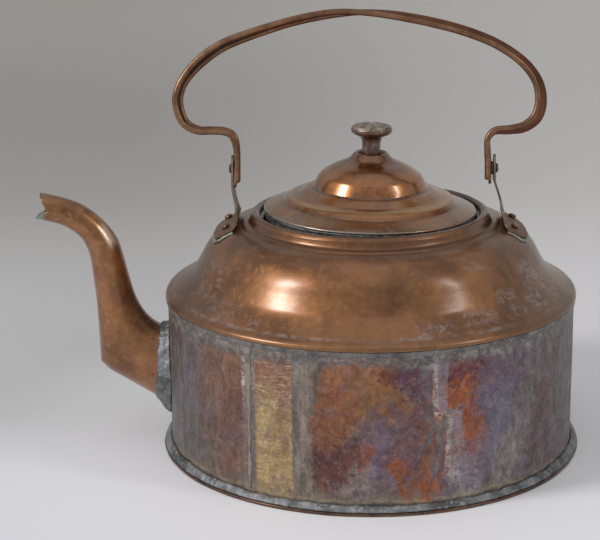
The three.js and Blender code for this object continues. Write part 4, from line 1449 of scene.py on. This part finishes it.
def lid_skirt():
    bottom, top, inner = 152.5, 166.5, SKIRT_RADIUS - 1
    corners = [(inner, bottom), (SKIRT_RADIUS, bottom), (SKIRT_RADIUS, top), (inner, top)]
    profile = filleted(corners, 0.3, 3)
    return turned(profile, MEDIUM_ROUND)


def lid_solder():
    inner = SKIRT_RADIUS + GAP
    profile = filleted(
        [(inner, 161), (73.1, 161.2), (73.3, 163.8), (73.9, 165.2), (73.8, 165.8), (inner, 166.2)],
        0.4,
        3,
    )

    def rough(point):
        outward = outward_at(point)
        return outward * 0.35 * lumps(point, 5, 3.0) + Vector((0, 0, 0.2 * lumps(point, 7, 6.0)))

    return moved(turned(profile, 480), rough)


PETALS = 10


def lid_knob():
    """A waisted stem and a round cap with a low relief of plain petals."""
    profile = filleted(
        [
            (0, 197.6), (3.2, 197.6), (5.2, 198.5), (5.2, 199.3), (3.7, 199.4), (3.7, 203.3),
            (6.9, 203.3), (6.9, 205), (6.4, 208.5), (6.3, 211.5), (6.7, 214.6), (7.7, 217),
            (10.4, 218.6), (13.2, 219.9), (14.3, 221.4), (14.3, 223.2), (12.8, 225.3),
        ],
        1.4,
        4,
        closed=False,
    )
    top = [(r, 225.3 + (12.8 - r) * 0.24 - max(0, 9 - r) * 0.13) for r in (11.6, 10.4, 9.2, 8, 6.8)]
    top += [(r, 226.45) for r in (5.6, 4.4, 3.2, 2, 1, 0)]
    shape = turned([*profile, *top], 160, closed=False)

    def carved(point):
        radius = math.hypot(point.x, point.y)
        if point.z < 224.6:
            return Vector((0, 0, 0.1 * lumps(point, 4, 1.0)))
        angle = math.atan2(point.y, point.x)
        petal = abs(math.cos(PETALS / 2 * angle))
        reach = min(max((radius - 3.4) / 1.2, 0), 1) * min(max((13.4 - radius) / 1.2, 0), 1)
        centre = max(0, 1 - radius / 3.2)
        wear = 0.8 + 0.5 * lumps(point, 5, 2.0)
        return Vector((0, 0, (0.75 * petal - 0.75) * reach * wear + 0.4 * centre - 0.05))

    return moved(shape, carved)


def knob_washer():
    return turned(filleted([(4, 199.7), (8.6, 199.7), (8.6, 200.8), (4, 200.8)], 0.25, 3), SMALL_ROUND)


to_edge = Matrix.Translation((0, 0, LID_HEIGHT))
lid_matrix = to_edge @ Matrix.Rotation(math.radians(LID_TILT), 4, "Y") @ to_edge.inverted()
for node, shape, paint, slot in (
    ("lid_cover", lid_cover(), LID_PAINT, "lid_copper"),
    ("lid_skirt", lid_skirt(), INSIDE_TIN_PAINT, "tinned_copper"),
    ("lid_seam_solder", lid_solder(), LID_SOLDER_PAINT, "solder"),
    ("lid_knob", lid_knob(), KNOB_PAINT, "knob_copper"),
    ("knob_washer", knob_washer(), RIVET_PAINT, "rivet_copper"),
):
    piece(node, placed(shape, lid_matrix), paint, body="lid")

# ---------- floor, light and camera ----------


def backdrop():
    """A floor that sweeps up into a wall behind the kettle."""
    bend, radius = 3.0, 1.3
    line = [(-4.5, 0.0), (-1.5, 0.0), (1.5, 0.0), (bend, 0.0)]
    for i in range(1, 25):
        angle = math.radians(80) * i / 24
        line.append((bend + radius * math.sin(angle), radius * (1 - math.cos(angle))))
    line.append((line[-1][0] + 0.35, line[-1][1] + 2.0))
    points, faces = [], []
    for y, z in line:
        points += [Vector((-4.5, y, z)), Vector((4.5, y, z))]
    for i in range(len(line) - 1):
        faces.append([2 * i, 2 * i + 1, 2 * i + 3, 2 * i + 2])
    mesh = bpy.data.meshes.new("backdrop")
    mesh.from_pydata(points, [], faces)
    for polygon in mesh.polygons:
        polygon.use_smooth = True
    obj = bpy.data.objects.new("backdrop", mesh)
    bpy.context.scene.collection.objects.link(obj)
    paint = Paint("paper", 0.0, 0.2)
    x, y = paint.split()[:2]
    radius = paint.radius(x, y)
    # Painted light and shade on the paper: darker on the left, lighter on the right.
    floor = (230, 229, 235), (251, 249, 255)
    paint.color = paint.blend(paint.step(x, -250, 250), *(tone(*shade) for shade in floor))
    # Painted falloff of the light: each further zone is [start, end] of its blend in y, [half width] of
    # its own blend in x, and its tones at the left and at the right.
    for start, end, reach, left, right in (
        (-120, 60, 250, (202, 200, 200), (238, 235, 237)),
        (340, 800, 350, (184, 181, 177), (228, 224, 222)),
        (900, 2500, 600, (214, 211, 204), (244, 241, 236)),
    ):
        painted_falloff_zone = paint.blend(paint.step(x, -reach, reach), tone(*left), tone(*right))
        paint.cover(paint.step(y, start, end), painted_falloff_zone)
    # Painted light: the floor is paler round the kettle, evening out the shade the kettle casts on it.
    paint.tint(paint.step(radius, 330, 150), 0.6, (252, 251, 253))
    paint.roughness = 0.85
    obj.data.materials.append(paint.finish())


def area_light(name, azimuth, elevation, distance, size, power, target=(0, 0, 0.12)):
    """A soft box of a width and height. Azimuth 0 is the camera's side and 90 is the kettle's right."""
    around, above = math.radians(azimuth), math.radians(elevation)
    direction = Vector(
        (math.sin(around) * math.cos(above), -math.cos(around) * math.cos(above), math.sin(above))
    )
    data = bpy.data.lights.new(name, "AREA")
    data.shape = "RECTANGLE"
    data.size, data.size_y = size
    data.energy = power
    obj = bpy.data.objects.new(name, data)
    obj.location = Vector(target) + direction * distance
    obj.rotation_mode = "QUATERNION"
    obj.rotation_quaternion = (-direction).to_track_quat("-Z", "Y")
    bpy.context.scene.collection.objects.link(obj)


def studio():
    area_light("left_soft_box", -64, 36, 1.7, (0.34, 0.42), 11.5)
    area_light("right_soft_box", 62, 38, 1.7, (0.14, 0.5), 2.9)
    area_light("top_soft_box", 10, 80, 2.2, (2.2, 2.2), 4)
    world = bpy.data.worlds.new("room")
    world.use_nodes = True
    background = world.node_tree.nodes["Background"]
    background.inputs["Color"].default_value = (0.53, 0.54, 0.55, 1)
    background.inputs["Strength"].default_value = 0.78
    bpy.context.scene.world = world
    bpy.context.scene.view_settings.view_transform = "Standard"


def camera():
    lens, roll = 107.93, -0.73
    place = Vector((0.0040, -1.2210, 0.4678))
    target = Vector((-0.04925, -0.00215, 0.1246))
    data = bpy.data.cameras.new("camera")
    data.lens = lens
    data.sensor_width = 36
    data.clip_start, data.clip_end = 0.05, 20
    obj = bpy.data.objects.new("camera", data)
    turn = (target - place).to_track_quat("-Z", "Y").to_matrix().to_4x4()
    obj.matrix_world = Matrix.Translation(place) @ turn @ Matrix.Rotation(math.radians(roll), 4, "Z")
    bpy.context.scene.collection.objects.link(obj)
    bpy.context.scene.camera = obj


backdrop()
studio()
camera()
